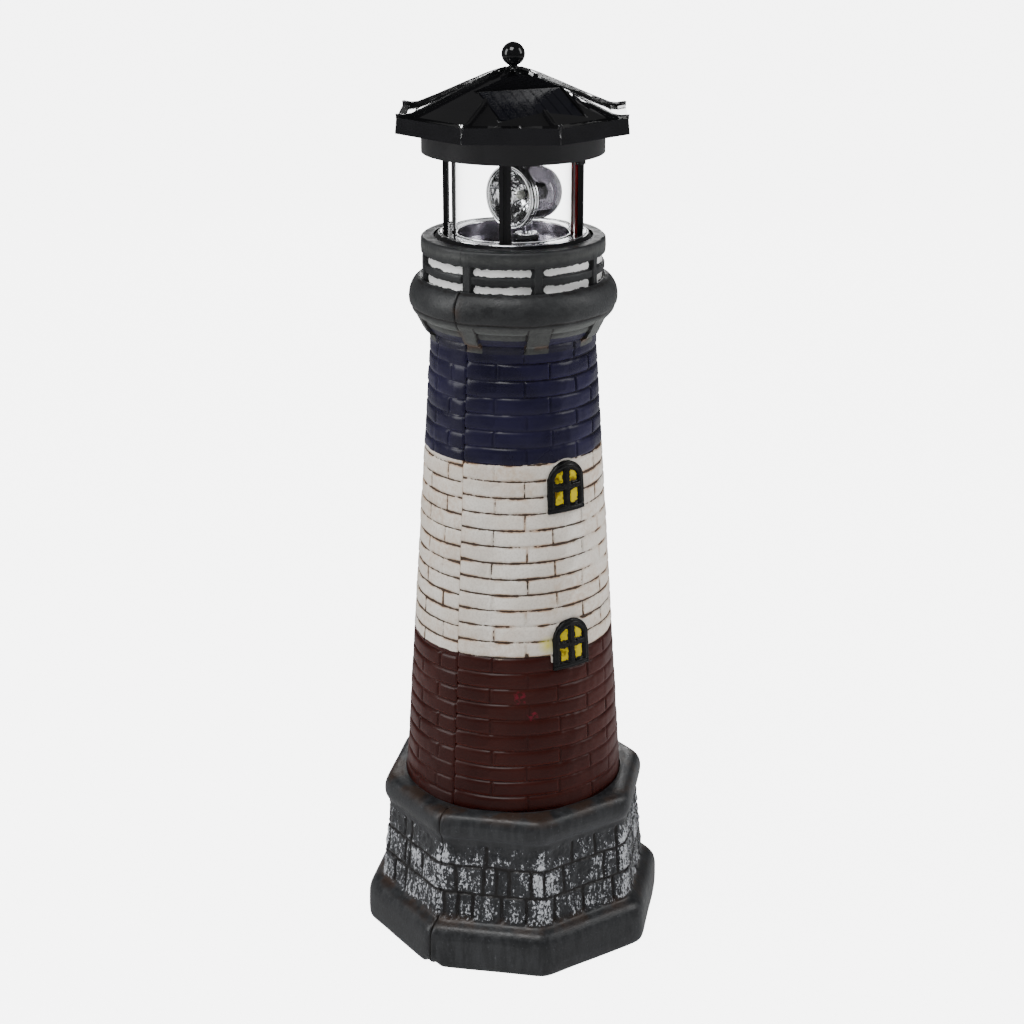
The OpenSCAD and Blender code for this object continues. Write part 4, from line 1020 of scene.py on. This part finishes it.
def gallery_half(name, start, stands_for):
    """One half of the gallery with its socket, from seam to seam."""
    path = soft_path(FLARE + TORUS + RAIL, 0.9, 0)
    centres = [start + POST_FIRST + POST_STEP * k for k in range(HALF_TURN // POST_STEP)]
    turns = gallery_columns(centres, start)
    turn_grid, row_grid = np.meshgrid(turns, np.arange(len(path)))
    smooth, level = path[row_grid, 0], path[row_grid, 1]
    away = arc(np.min([np.abs(turn_grid - c) for c in centres], axis=0), smooth)
    radius, corbel = stepped_radius(smooth, level, away, row_grid)
    skin = turned(radius, turn_grid, level)
    relief = layers(skin, GALLERY_NOISE) - GALLERY_SUNK
    edge = from_seam(turn_grid, start, radius)
    crack = bump_line(edge, 0.45) * np.clip((388 - level) / 4, 0.1, 1)
    crease = bump_line(level - 358.6 - 0.4 * cloud(skin, 9, 4), 0.7) * (row_grid < TORUS_ROWS) * ~corbel
    brick = foot_bricks(skin, turn_grid, level, corbel)
    relief -= SEAM_CUT * crack + CREASE_CUT * crease + BRICK_CUT * brick
    relief[0] = relief[-1] = 0
    outer = pushed(skin, relief)
    inner = round_rows(SOCKET, turns)
    reach = np.clip((away - POST_HALF) / 1.6, 0, 1)
    bars = np.max([np.clip(1.15 - np.abs(level - z) / (1.0 + 1.6 * reach), 0, 1) for z in SLOTS], axis=0)
    near_rail = (row_grid > TORUS_ROWS) & (smooth < 48.3)
    sides = bump_line(away - 6.4, 0.7) * (level < 357) * (level > 344)
    foot = bump_line(level - 345, 1.5) * (away < 7) + bump_line(edge, 2.5) * (level < 372) * 0.6
    pale = np.clip((358 - level) / 1.5, 0, 1) * 0.75 + 0.5 * bump_line(level - 391, 2)
    navy = np.clip((349.6 - level) / 1.6 + 0.5, 0, 1) * (away > 6.2)
    hollow = crack + crease + 0.5 * brick + sides + 0.6 * bump_line(level - 373.4, 1.0)
    marks = {"peak": bars * reach * near_rail, "rust": np.clip(foot, 0, 1), "pale": np.clip(pale, 0, 1),
             "navy": navy, "hollow": np.clip(hollow, 0, 1)}
    grid = seam_hold(np.concatenate([outer, inner]), start, 46)
    return half_ring(name, grid[:len(outer)], grid[len(outer):], marks, GALLERY, stands_for)


gallery_front = gallery_half("gallery_front", SEAM, "shell_front")
gallery_rear = gallery_half("gallery_rear", SEAM + HALF_TURN, "shell_rear")

# %% [markdown]
# ## The windows' paint
# Black gloss on the frame, and yellow dabbed into the panes with a full brush, so it
# pools lighter and darker and doesn't quite reach the corners.

# %% Window paint
FRAME_BLACK, PANE_TONES = tone(1.5, 1.5, 1.7), (tone(120, 70, 1), tone(640, 500, 2))


def window_paint():
    """Gloss black paint on the frame, and hand-dabbed yellow on the sunk panes."""
    made, tree, shader = new_finish("window paint")
    dab = patches(tree, 160.0, 0.35, 0.5, 1.0)
    edge = streaks(tree, 500.0, 0.8, 0.35, 0.65)
    share = over(tree, 1.0, scaled(tree, edge, 0.35, mark(tree, "pane")), 0.7, 0.8)
    colour = blend(tree, share, FRAME_BLACK, blend(tree, dab, *PANE_TONES))
    surface(tree, shader, colour, scaled(tree, dab, 0.12, 0.2), grain(tree, 300.0, 2.0), 0.06)
    shader.inputs["Specular IOR Level"].default_value = 0.25
    return made


WINDOWS = window_paint()
print(WINDOWS.name, "nodes", len(WINDOWS.node_tree.nodes))

# %% [markdown]
# ## The windows
# Two arched plaques stand out of the bricks on the front. Each is a flat plate with four
# sunk panes and a fine bead round them, made as a grid of heights and then wrapped round
# the shaft, which is easier than modelling it on the curve.

# %% Window relief
WINDOW_OUT, WINDOW_FRAME, WINDOW_BAR, PANE_SUNK = 1.6, 3.2, 2.2, 1.2
EDGE_DROP, LINE_CUT, BEAD_RISE, BACK_SINK = 0.6, 0.3, 0.15, 1.4
ACROSS_POINTS, UP_POINTS = 57, 73


def arch_top(across, width, height):
    """Height of an arch's edge over its centre, at a place across it."""
    half = width / 2
    return height / 2 - half + np.sqrt(np.maximum(half * half - across * across, 0))


def plaque(centre):
    """Places across and up a plaque, how far each stands out, and how deep in a pane it lies."""
    half, bottom = WINDOW_W / 2, -WINDOW_H / 2
    across, share = np.meshgrid(np.linspace(-half, half, ACROSS_POINTS), np.linspace(0, 1, UP_POINTS))
    top = arch_top(np.clip(across, -half + 0.02, half - 0.02), WINDOW_W, WINDOW_H)
    rise = bottom + share * (top - bottom)
    pane_w, pane_h = WINDOW_W - 2 * WINDOW_FRAME, WINDOW_H - 2 * WINDOW_FRAME
    pane_top = arch_top(np.clip(across, -pane_w / 2, pane_w / 2), pane_w, pane_h)
    inside = np.minimum.reduce([pane_w / 2 - np.abs(across), rise + pane_h / 2, pane_top - rise,
                                np.abs(across) - WINDOW_BAR / 2, np.abs(rise) - WINDOW_BAR / 2])
    sunk = np.clip(inside / 0.5 + 0.2, 0, 1)
    rim = np.minimum.reduce([half - np.abs(across), rise - bottom, top - rise])
    out = WINDOW_OUT - PANE_SUNK * sunk - EDGE_DROP * np.clip(1 - rim / 0.9, 0, 1) ** 2
    lines = np.clip(bump_line(rim - 1.3, 0.4) + bump_line(rise - bottom - 2.5, 0.4), 0, 1)
    bead = bump_line(rim - 2.2, 0.45) * (1 - sunk)
    sill = bump_line(rise - bottom - 1.6, 0.5) * (np.abs(across) < half - 1.2)
    out = out - LINE_CUT * lines * (1 - sunk) + BEAD_RISE * np.clip(bead + sill, 0, 1)
    points = np.stack([across, rise, out], axis=-1)
    out = out + 0.15 * cloud(points * (1, 1, 0) + centre, 3.0, 8)
    return across, rise, out, np.clip(inside / 2.2, 0, 1)


print("a pane is sunk by", PANE_SUNK, "mm")

# %% [markdown]
# ## Wrapping the plaques
# The grid is bent round the shaft twice, as a front and as a back, and the two are joined
# round their four edges, so that each plaque is a closed solid like the real one.

# %% Windows
def window(name, centre, made):
    """One plaque on the shaft, closed at the back."""
    across, rise, out, pane = plaque(centre)
    turn, height = np.degrees(across / wall_radius(centre)), centre + rise
    outer = turned(wall_radius(height) + out, turn, height)
    back = turned(wall_radius(height) - BACK_SINK, turn, height)
    rows, cols = across.shape
    front = np.arange(rows * cols).reshape(rows, cols)
    behind = front + rows * cols
    quads = [np.stack([g[:-1, :-1], g[:-1, 1:], g[1:, 1:], g[1:, :-1]], axis=-1).reshape(-1, 4)
             for g in (front, behind[:, ::-1])]
    edges = [(grid[0], grid[-1][::-1], grid[::-1, 0], grid[:, -1]) for grid in (front, behind)]
    for near, far in zip(*edges):
        quads.append(np.stack([near[:-1], far[:-1], far[1:], near[1:]], axis=-1))
    mesh = bpy.data.meshes.new(name)
    mesh.from_pydata((np.concatenate([outer.reshape(-1, 3), back.reshape(-1, 3)]) * MM).tolist(), [],
                     np.concatenate(quads).tolist())
    full = np.concatenate([pane.ravel(), np.zeros(rows * cols)]).astype(np.float32)
    store_mark(mesh, "pane", full)
    return place_piece(name, mesh, made, "tower", "shell_front", sharp=50)


for name, (low, high) in zip(("window_low", "window_high"), WINDOW_SPANS):
    window(name, (low + high) / 2, WINDOWS)

# %% [markdown]
# ## Rounded edges of the lantern
# Moulded plastic has no knife edges: a small radius on every corner of the roof, the
# collar, the flange and the posts catches a thin line of light. The CAD vertices stay as
# they are: a weld modifier joins them and a bevel modifier rounds the edges.

# %% Rounded edges
SOFT_EDGES = {"roof": 0.75, "collar": 0.5, "lantern_base": 0.4, "reflector_tray": 0.35, "finial": 0.25,
              "switch_slider": 0.2, "base_cover": 0.3, "battery_door": 0.25,
              "post_1": 0.25, "post_2": 0.25, "post_3": 0.25, "post_4": 0.25}
WELD_REACH, EDGE_ANGLE, EDGE_STEPS = 0.002, 32, 3
for label, width in SOFT_EDGES.items():
    rounded = nodes[label]
    weld = rounded.modifiers.new("weld", "WELD")
    weld.merge_threshold = WELD_REACH * MM
    bevel = rounded.modifiers.new("soft edge", "BEVEL")
    bevel.width = width * MM
    bevel.segments = EDGE_STEPS
    bevel.limit_method = "ANGLE"
    bevel.angle_limit = math.radians(EDGE_ANGLE)
    bevel.harden_normals = False
print("rounded", len(SOFT_EDGES))

# %% [markdown]
# ## Thin rods
# The roof has fine raised lines, which are best made as thin rods swept along a path. Each
# rod is a chain of eight-sided rings with smaller rings at its tips, and many rods can
# share one mesh, so the whole trim becomes one piece.

# %% Rods
ROD_SIDES, TIP_SIZE, TIP_REACH = 8, 0.55, 0.6
ASKEW = (0.83, 0.41, 0.37)


def rods(name, paths, thick, made, body):
    """Thin round rods along paths of points in mm, with rounded ends, as one piece."""
    shell = bmesh.new()
    around = np.linspace(0, 2 * math.pi, ROD_SIDES, endpoint=False)[:, None]
    for path in paths:
        path = np.array(path, float)
        along = np.gradient(path, axis=0)
        along /= np.linalg.norm(along, axis=1, keepdims=True)
        tips = TIP_REACH * thick * along[[0, -1]]
        path = np.concatenate([[path[0] - tips[0]], path, [path[-1] + tips[1]]])
        along = np.concatenate([along[:1], along, along[-1:]])
        size = np.array([TIP_SIZE] + [1.0] * (len(path) - 2) + [TIP_SIZE]) * thick
        side = np.cross(along, ASKEW)
        side /= np.linalg.norm(side, axis=1, keepdims=True)
        up = np.cross(side, along)
        rings = []
        for place, wide, across, rise in zip(path, size, side, up):
            points = place + wide * (np.cos(around) * across + np.sin(around) * rise)
            rings.append([shell.verts.new(point) for point in points * MM])
        for low, high in zip(rings, rings[1:]):
            for k in range(len(low)):
                shell.faces.new([low[k], low[k - 1], high[k - 1], high[k]])
        shell.faces.new(rings[0])
        shell.faces.new(rings[-1][::-1])
    mesh = keep_shell(shell, bpy.data.meshes.new(name))
    return place_piece(name, mesh, made, body, sharp=50)


def sideways(radius, turn, height, aside):
    """A point at a turn, moved aside at right angles to its radius."""
    angle = math.radians(turn)
    return turned(radius, turn, height) + aside * np.array([math.cos(angle), math.sin(angle), 0])


print("a rod has", ROD_SIDES, "sides")

# %% [markdown]
# ## The roof's trim
# Each rib is a pair of thin round beads side by side, every corner of the eaves is rubbed
# round, and a narrow lip holds the solar panel. The three ribs under the panel stop short
# of it. In the photograph these lines are most of what shows of the black roof.

# %% Roof trim
HIP = [(1, 0), (0.93, -0.025), (0.864, 0), (0.784, 0.1), (0.688, 0.22), (0.592, 0.35), (0.496, 0.48),
       (0.408, 0.6), (0.326, 0.705), (0.246, 0.815), (0.15, 0.925), (0.07, 1)]
HIP_TURN, HIP_REACH, EAVE_TOP, ROOF_RISE, RIB_TOP, RIB_HALF = -13.1, 62.5, 458.2, 20.2, 1.5, 0.72
PANEL_HALF, PANEL_LONG, PANEL_TILT, PANEL_BACK, PANEL_Z = 23.4, 35.4, math.radians(17.5), 7.0, 470.1
UNDER_PANEL = {0: 0.68, 1: 0.59, 7: 0.59}
EAVE_CORNER = ((0.5, -7.6), (0.1, -3.8), (-0.3, -0.2))
TRIM_THICK = 0.45
rib_paths, corner_paths = [], []
for k in range(8):
    hip = HIP_TURN + 45 * k
    for half in (-RIB_HALF, RIB_HALF):
        rib_paths.append([sideways(HIP_REACH * reach, hip, EAVE_TOP + ROOF_RISE * rise + RIB_TOP, half)
                          for reach, rise in HIP if reach > UNDER_PANEL.get(k, 0)])
    corner_paths.append([turned(HIP_REACH + out, hip, EAVE_TOP + up) for out, up in EAVE_CORNER])
lip = [(-PANEL_HALF, 0), (-PANEL_HALF, -PANEL_LONG), (PANEL_HALF, -PANEL_LONG), (PANEL_HALF, 0)]
lip_paths = []
for (x_a, y_a), (x_b, y_b) in zip(lip, lip[1:]):
    ends = []
    for x, y in ((x_a, y_a), ((x_a + x_b) / 2, (y_a + y_b) / 2), (x_b, y_b)):
        radius, height = PANEL_BACK - y * math.cos(PANEL_TILT), PANEL_Z + y * math.sin(PANEL_TILT)
        ends.append(sideways(radius, HIP_TURN, height, x))
    lip_paths.append(ends)
roof_trim = rods("roof_trim", rib_paths + lip_paths + corner_paths, TRIM_THICK, ROOF_GLOSS,
                 "lantern")

# %% [markdown]
# ## The tray's finish
# The tray under the beacon is plated too, but thinly: it looks like dull, blotchy tin. Its
# floor and wall get a painted reflection chosen by which way the surface faces: bright
# silver where it faces up, dark and purplish on the upright wall. Its brim is painted a
# darker grey above a set height. One finish does all three.

# %% Tray finish
WALL_REFLECTION_TONES = tone(90, 82, 105), tone(330, 310, 350)
FLOOR_REFLECTION_TONES = tone(820, 820, 835), tone(900, 900, 910)
BRIM_TONE, BRIM_FROM, BRIM_FULL = tone(250, 250, 262), 392, 394


def upward(tree, vector):
    return add(tree, "SeparateXYZ", {0: vector}).outputs[2]


def tray_finish():
    """Plated plastic with a painted reflection: bright and smooth where it faces up, dark and blotchy on the
    upright wall.
    """
    made, tree, shader = new_finish("tray tin")
    # painted reflection: upward faces take the bright floor tones, upright faces the dark wall tones
    flat = over(tree, 1.0, upward(tree, add(tree, "NewGeometry").outputs["Normal"]), 0.5, 0.9)
    blotch = patches(tree, 130.0, 0.35, 0.65)
    on_brim = over(tree, 1.0, upward(tree, object_place(tree)), BRIM_FROM * MM, BRIM_FULL * MM)
    level = blend(tree, on_brim, blend(tree, blotch, *FLOOR_REFLECTION_TONES), BRIM_TONE)
    colour = blend(tree, flat, blend(tree, blotch, *WALL_REFLECTION_TONES), level)
    surface(tree, shader, colour, scaled(tree, flat, -0.12, 0.26), grain(tree, 300.0, 2.0), 0.006)
    shader.inputs["Metallic"].default_value = 1.0
    return made


give_finish("reflector_tray", tray_finish())
give_finish("roof", ROOF_GLOSS)
give_finish("finial", ROOF_GLOSS)
give_finish("led_holder", FINISHES["smoked_plastic"])
give_finish("beacon_lens", LAMP_LENS)
print("own finishes for the tray, the roof, the finial and the lamp's lens and holder")

# %% [markdown]
# ## Turned rings
# The lamp is all round parts on one level axis, and the bush and washer under it are round
# about the spindle. One function turns a closed loop of (radius, distance) points about
# any axis. A loop can be marked hollow row by row, and facet pushes its front points in
# and out at random, as the facets of a reflector are.

# %% Ring pieces
LAMP_AT = np.array([5.604, -3.852, 416.0])
LAMP_TURN = math.radians(-76.9)
AHEAD = np.array([math.sin(LAMP_TURN), -math.cos(LAMP_TURN), 0.0])
ASIDE = np.array([math.cos(LAMP_TURN), math.sin(LAMP_TURN), 0.0])
UPRIGHT = np.array([0.0, 0.0, 1.0])
LAMP_FRAME = (LAMP_AT, AHEAD, ASIDE, UPRIGHT)
TOWER_FRAME = (np.zeros(3), UPRIGHT, np.array([1.0, 0, 0]), np.array([0, 1.0, 0]))
SPINDLE_FRAME = (LAMP_AT * (1, 1, 0), *TOWER_FRAME[1:])
FACET_SEED = 3


def ring_piece(name, frame_of, profile, made, body, stands_for=None, segments=96, facet=0.0,
               groove=(), sharp=35):
    """A closed ring turned from a loop of (radius, distance along the axis) points."""
    centre, along, side, up = frame_of
    loop = np.array(profile, float)
    angle = np.linspace(0, 2 * math.pi, segments, endpoint=False)
    radius = np.repeat(loop[:, :1], segments, axis=1)
    ahead = np.repeat(loop[:, 1:], segments, axis=1)
    rng = np.random.default_rng(FACET_SEED)
    faced = (np.arange(len(loop)) < len(loop) // 2)[:, None]
    ahead = ahead + facet * rng.uniform(-1, 1, ahead.shape) * faced
    points = (centre + ahead[..., None] * along + (radius * np.cos(angle))[..., None] * side
              + (radius * np.sin(angle))[..., None] * up)
    index = np.arange(len(loop) * segments).reshape(len(loop), segments)
    beside, above = np.roll(index, -1, axis=1), np.roll(index, -1, axis=0)
    quads = np.stack([index, beside, np.roll(above, -1, axis=1), above], axis=-1).reshape(-1, 4)
    shell = bmesh.new()
    hollow = shell.verts.layers.float.new("hollow")
    verts = [shell.verts.new(point) for point in points.reshape(-1, 3) * MM]
    for row in groove:
        for vert in verts[row * segments:(row + 1) * segments]:
            vert[hollow] = 1.0
    for quad in quads.tolist():
        shell.faces.new([verts[k] for k in quad])
    bmesh.ops.remove_doubles(shell, verts=shell.verts, dist=WELD_GAP)
    mesh = keep_shell(shell, bpy.data.meshes.new(name))
    return place_piece(name, mesh, made, body, stands_for, sharp)


def bead(radius, at, thick, start, stop, steps=5):
    """Part of a round bead as (radius, distance) points, from one angle to another."""
    return [(radius + thick * math.cos(a), at + thick * math.sin(a))
            for a in np.radians(np.linspace(start, stop, steps))]


print("the lamp stands", round(math.hypot(*LAMP_AT[:2]), 1), "mm from the middle")

# %% [markdown]
# ## The lamp's plating
# Vacuum plating is a mirror, so it shows what stands round it. Black in the grooves
# between the beads, and streaks of black on the bowl, stand for the dark room that real
# facets pick up from all sides.

# %% Lamp plating
PLATE, PLATE_BLACK = tone(950, 950, 955), tone(12, 12, 14)


def silver(name, rough, dark):
    """Bright plate with a painted dark reflection: near black where the mesh is marked hollow, and in dark
    streaks.
    """
    made, tree, shader = new_finish(name)
    streak = streaks(tree, 330.0, 0.22, 0.47, 0.55)
    shade = math_node(tree, "MAXIMUM", times(tree, streak, dark), mark(tree, "hollow"))
    colour = blend(tree, shade, PLATE, PLATE_BLACK)
    surface(tree, shader, colour, scaled(tree, streak, 0.08, rough), grain(tree, 700.0, 2.0), 0.01)
    shader.inputs["Metallic"].default_value = 1.0
    return made


RING_PLATE, BOWL_PLATE = silver("ring plate", 0.1, 0.0), silver("bowl plate", 0.05, 0.95)
print("plating", RING_PLATE.name, BOWL_PLATE.name)

# %% [markdown]
# ## The beacon's ring and neck
# A chromed ring with three beads faces the garden, and a neck closes it behind. The neck
# has the curve of the reflector in it, which gets deeper with the square of the radius,
# as a reflector for a small LED does.

# %% Beacon ring and neck
RING_BACK = 8.5
BOWL_FOOT, BOWL_DEPTH, BOWL_FROM, BOWL_OVER = 3.4, 8.4, 2.6, 10.7
# groove rows marked hollow, where the plating paints a black reflection of the dark room
RING_HOLLOWS = (6, 7, 13, 14, 20, 21)


def bowl_path(start, stop, steps, behind=0.0):
    """The reflector's bowl as (radius, distance) points, from one radius to another."""
    return [(r, BOWL_FOOT + BOWL_DEPTH * ((r - BOWL_FROM) / BOWL_OVER) ** 2 - behind)
            for r in np.linspace(start, stop, steps)]


ring_loop = [(14.0, 12.3)] + bead(14.4, 13.0, 0.4, 180, 10) + [(14.85, 12.1), (15.3, 12.1)]
ring_loop += bead(15.75, 13.0, 0.45, 170, 0) + [(15.9, 12.2), (15.9, 11.4)] + bead(15.75, 10.7, 0.45, 70, -70)
ring_loop += [(15.9, 9.9), (15.9, 9.4)] + bead(15.75, 9.0, 0.45, 60, -90) + [(14.9, RING_BACK), (14.9, 12.3)]
beacon_ring = ring_piece("beacon_ring", LAMP_FRAME, ring_loop, RING_PLATE, "beacon",
                         "beacon_bezel", groove=RING_HOLLOWS)
neck_loop = ([(14.85, RING_BACK + 0.6), (14.85, RING_BACK - 0.2), (13.6, 8.2)]
             + bowl_path(12.6, 4.6, 9, 1.5) + bowl_path(4.6, 13.2, 9, 0.8))
beacon_neck = ring_piece("beacon_neck", LAMP_FRAME, neck_loop, BOWL_PLATE, "beacon",
                         "beacon_housing")

# %% [markdown]
# ## The beacon's ball
# Behind the ring sits a smoked ball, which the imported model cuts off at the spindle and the
# real lamp carries on to the ring. It is blown thin, so it gets an outer and an inner skin.

# %% Beacon ball
BALL_R, BALL_INSIDE_R, BALL_BACK = 14.1, 12.9, 7.0
BALL_FRONT, BALL_END, BALL_INSIDE_END = 4.4, -21.0999, -19.8999


def ball_path(radius, start, stop, steps=30):
    """Points on the ball from one distance ahead of the axis to another, as (radius, ahead)."""
    first, last = [math.acos((ahead + BALL_BACK) / radius) for ahead in (start, stop)]
    return [(radius * math.sin(a), radius * math.cos(a) - BALL_BACK) for a in np.linspace(first, last, steps)]


ball_loop = ball_path(BALL_R, BALL_FRONT, BALL_END) + ball_path(BALL_INSIDE_R, BALL_INSIDE_END, BALL_FRONT)
beacon_ball = ring_piece("beacon_ball", LAMP_FRAME, ball_loop, FINISHES["smoked_plastic"],
                         "beacon", "beacon_dome")

# %% [markdown]
# ## The reflector
# The bowl inside the ring is faceted, so that one LED makes many glints. Few segments, a
# random push on every front point and sharp edges all round give flat, uneven facets.

# %% Reflector bowl
BOWL_THICK, FACET_PUSH, FACETS = 0.55, 0.22, 36
bowl_loop = bowl_path(2.7, 13.3, 9) + bowl_path(13.4, 2.7, 9, BOWL_THICK)
beacon_bowl = ring_piece("beacon_bowl", LAMP_FRAME, bowl_loop, BOWL_PLATE, "beacon",
                         "beacon_reflector", segments=FACETS, facet=FACET_PUSH, sharp=3)

# %% [markdown]
# ## Bush, washer and the tray's beads
# A black bush stands up from the tray's floor round the spindle, with a bright washer on
# it that turns with the lamp. Two fine beads finish the tray's brim and the edge of its
# well, where the photograph shows bright rings.

# %% Bush, washer and beads
hub_loop = [(3.4, 389.5), (6.5, 389.5)] + bead(6.15, 395.05, 0.35, 0, 180, 6) + [(5.8, 393.7), (3.4, 393.7)]
washer_loop = [(3.3, 393.9), (5.6, 393.9)] + bead(5.2, 395.7, 0.4, 0, 180, 6) + [(4.8, 394.6), (3.3, 394.6)]
ring_piece("hub", SPINDLE_FRAME, hub_loop, FINISHES["black_plastic"], "lantern",
           "hub_bush", segments=64)
ring_piece("washer", SPINDLE_FRAME, washer_loop, RING_PLATE, "beacon", "thrust_washer",
           segments=64)
for name, loop in (("brim_bead", bead(37.5, 396.3, 0.45, 0, 330, 12)),
                   ("well_bead", bead(29.5, 396.5, 0.4, 0, 330, 12))):
    ring_piece(name, TOWER_FRAME, loop, RING_PLATE, "lantern")

# %% [markdown]
# ## Soft boxes
# Soft lights as in a product studio: two tall boxes, one on each side and a little in
# front, one over the camera, and two small ones behind that edge the lamp room. They are
# placed from the camera's side, because that is how one thinks of them.

# %% Soft boxes
def soft_light(name, right, near, height, size, power, aim=0.25):
    """A soft box placed from the camera's side: metres to the right, towards the camera and up."""
    turn = math.radians(VIEW_TURN)
    lamp = bpy.data.lights.new(name, "AREA")
    lamp.shape = "RECTANGLE"
    lamp.energy = power
    lamp.size, lamp.size_y = size
    holder = bpy.data.objects.new(name, lamp)
    holder.location = (right * math.cos(turn) + near * math.sin(turn),
                       right * math.sin(turn) - near * math.cos(turn), height)
    to_aim = Vector((0, 0, aim)) - holder.location
    holder.rotation_euler = to_aim.to_track_quat("-Z", "Y").to_euler()
    bpy.context.scene.collection.objects.link(holder)
    return holder


soft_light("left box", -1.3, 0.3, 0.82, (0.5, 1.1), 13)
soft_light("right box", 1.3, 0.15, 0.98, (0.5, 1.0), 8)
soft_light("front box", -0.35, 0.85, 1.75, (0.8, 0.8), 20)
soft_light("back left box", -0.3, -2.1, 0.66, (0.36, 0.26), 2.6, 0.46)
soft_light("back right box", 0.24, -2.1, 0.7, (0.44, 0.34), 4.5, 0.46)
print("soft boxes", len(bpy.data.lights))

# %% [markdown]
# ## Floor and backdrop
# A seamless pale floor. It and the backdrop look bright to the camera, yet light the object
# only a little, because the photograph keeps its blacks deep in front of a white ground.
# The Light Path node tells what kind of ray asks, and only a straight one gets the glow.

# %% Floor and backdrop
FLOOR_GLOW, ROOM_LIGHT, INSIDE_SHARE = 6.0, 0.12, 0.15
FLOOR_HALF, FLOOR_GREY, FLOOR_ROUGH = 8, 0.5, 0.9
WHITE = (1, 1, 1, 1)


def seen_share(tree):
    """1 for what the camera sees directly or through clear plastic, and a little in the lamp's mirrors."""
    path = add(tree, "LightPath")
    diffuse, glossy = path.outputs["Diffuse Depth"], path.outputs["Glossy Depth"]
    straight = math_node(tree, "LESS_THAN", math_node(tree, "ADD", diffuse, glossy), 0.5)
    through = math_node(tree, "GREATER_THAN", path.outputs["Transmission Depth"], 3.5)
    mirrored = times(tree, through, math_node(tree, "LESS_THAN", diffuse, 0.5))
    return math_node(tree, "MAXIMUM", straight, times(tree, mirrored, INSIDE_SHARE))


floor_mesh = bpy.data.meshes.new("floor")
corners = [(x * FLOOR_HALF, y * FLOOR_HALF, 0) for x, y in ((-1, -1), (1, -1), (1, 1), (-1, 1))]
floor_mesh.from_pydata(corners, [], [(0, 1, 2, 3)])
floor = bpy.data.objects.new("floor", floor_mesh)
bpy.context.scene.collection.objects.link(floor)
floor_paint, floor_tree, floor_shader = new_finish("pale floor")
floor_shader.inputs["Base Color"].default_value = (FLOOR_GREY, FLOOR_GREY, FLOOR_GREY, 1)
floor_shader.inputs["Roughness"].default_value = FLOOR_ROUGH
floor_shader.inputs["Emission Color"].default_value = WHITE
glow = times(floor_tree, seen_share(floor_tree), FLOOR_GLOW)
floor_tree.links.new(glow, floor_shader.inputs["Emission Strength"])
floor.data.materials.append(floor_paint)
floor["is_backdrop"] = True

world = bpy.data.worlds.new("studio")
bpy.context.scene.world = world
world.use_nodes = True
backdrop = world.node_tree.nodes["Background"]
backdrop.inputs[0].default_value = WHITE
level = scaled(world.node_tree, seen_share(world.node_tree), FLOOR_GLOW, ROOM_LIGHT)
world.node_tree.links.new(level, backdrop.inputs[1])
print("floor glow", FLOOR_GLOW, "room light", ROOM_LIGHT)


# %% [markdown]
# ## Cards for single pieces
# A photographer holds small white cards so that a black roof or a chromed ring has
# something to mirror. Light linking does the same here: each card reaches only the pieces
# that it is meant for, so it leaves no streak in the clear tube in front of them.

# %% Cards
def shown_only_by(name, objects, cards):
    """Cards whose light and reflection reach only some pieces, as a photographer's small cards do."""
    group = bpy.data.collections.new(name)
    for shown in objects:
        group.objects.link(shown)
    for card in cards:
        card.light_linking.receiver_collection = group


shown_only_by("roof cards", [nodes["roof"], roof_trim],
              [soft_light("left strip", -0.9, 0.85, 0.52, (0.1, 0.4), 12, 0.45),
               soft_light("right strip", 0.9, 0.85, 0.52, (0.1, 0.4), 12, 0.45),
               soft_light("floor card", 0.15, 0.5, 0.03, (0.5, 0.4), 0.5, 0.47)])
shown_only_by("lamp cards", [beacon_ring, beacon_neck, beacon_bowl],
              [soft_light("lamp card", -1.0, 0.12, 0.25, (0.9, 0.5), 20, 0.4)])
shown_only_by("ball card", [beacon_ball], [soft_light("ball card", 0.9, 0.65, 0.87, (0.4, 0.7), 12, 0.42)])
print("lights and cards", len(bpy.data.lights))

# %% [markdown]
# ## Size
# Last, the box of what shows is measured, and its size is printed.

# %% Size
low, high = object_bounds()
print("size", [round(b - a, 4) for a, b in zip(low, high)])
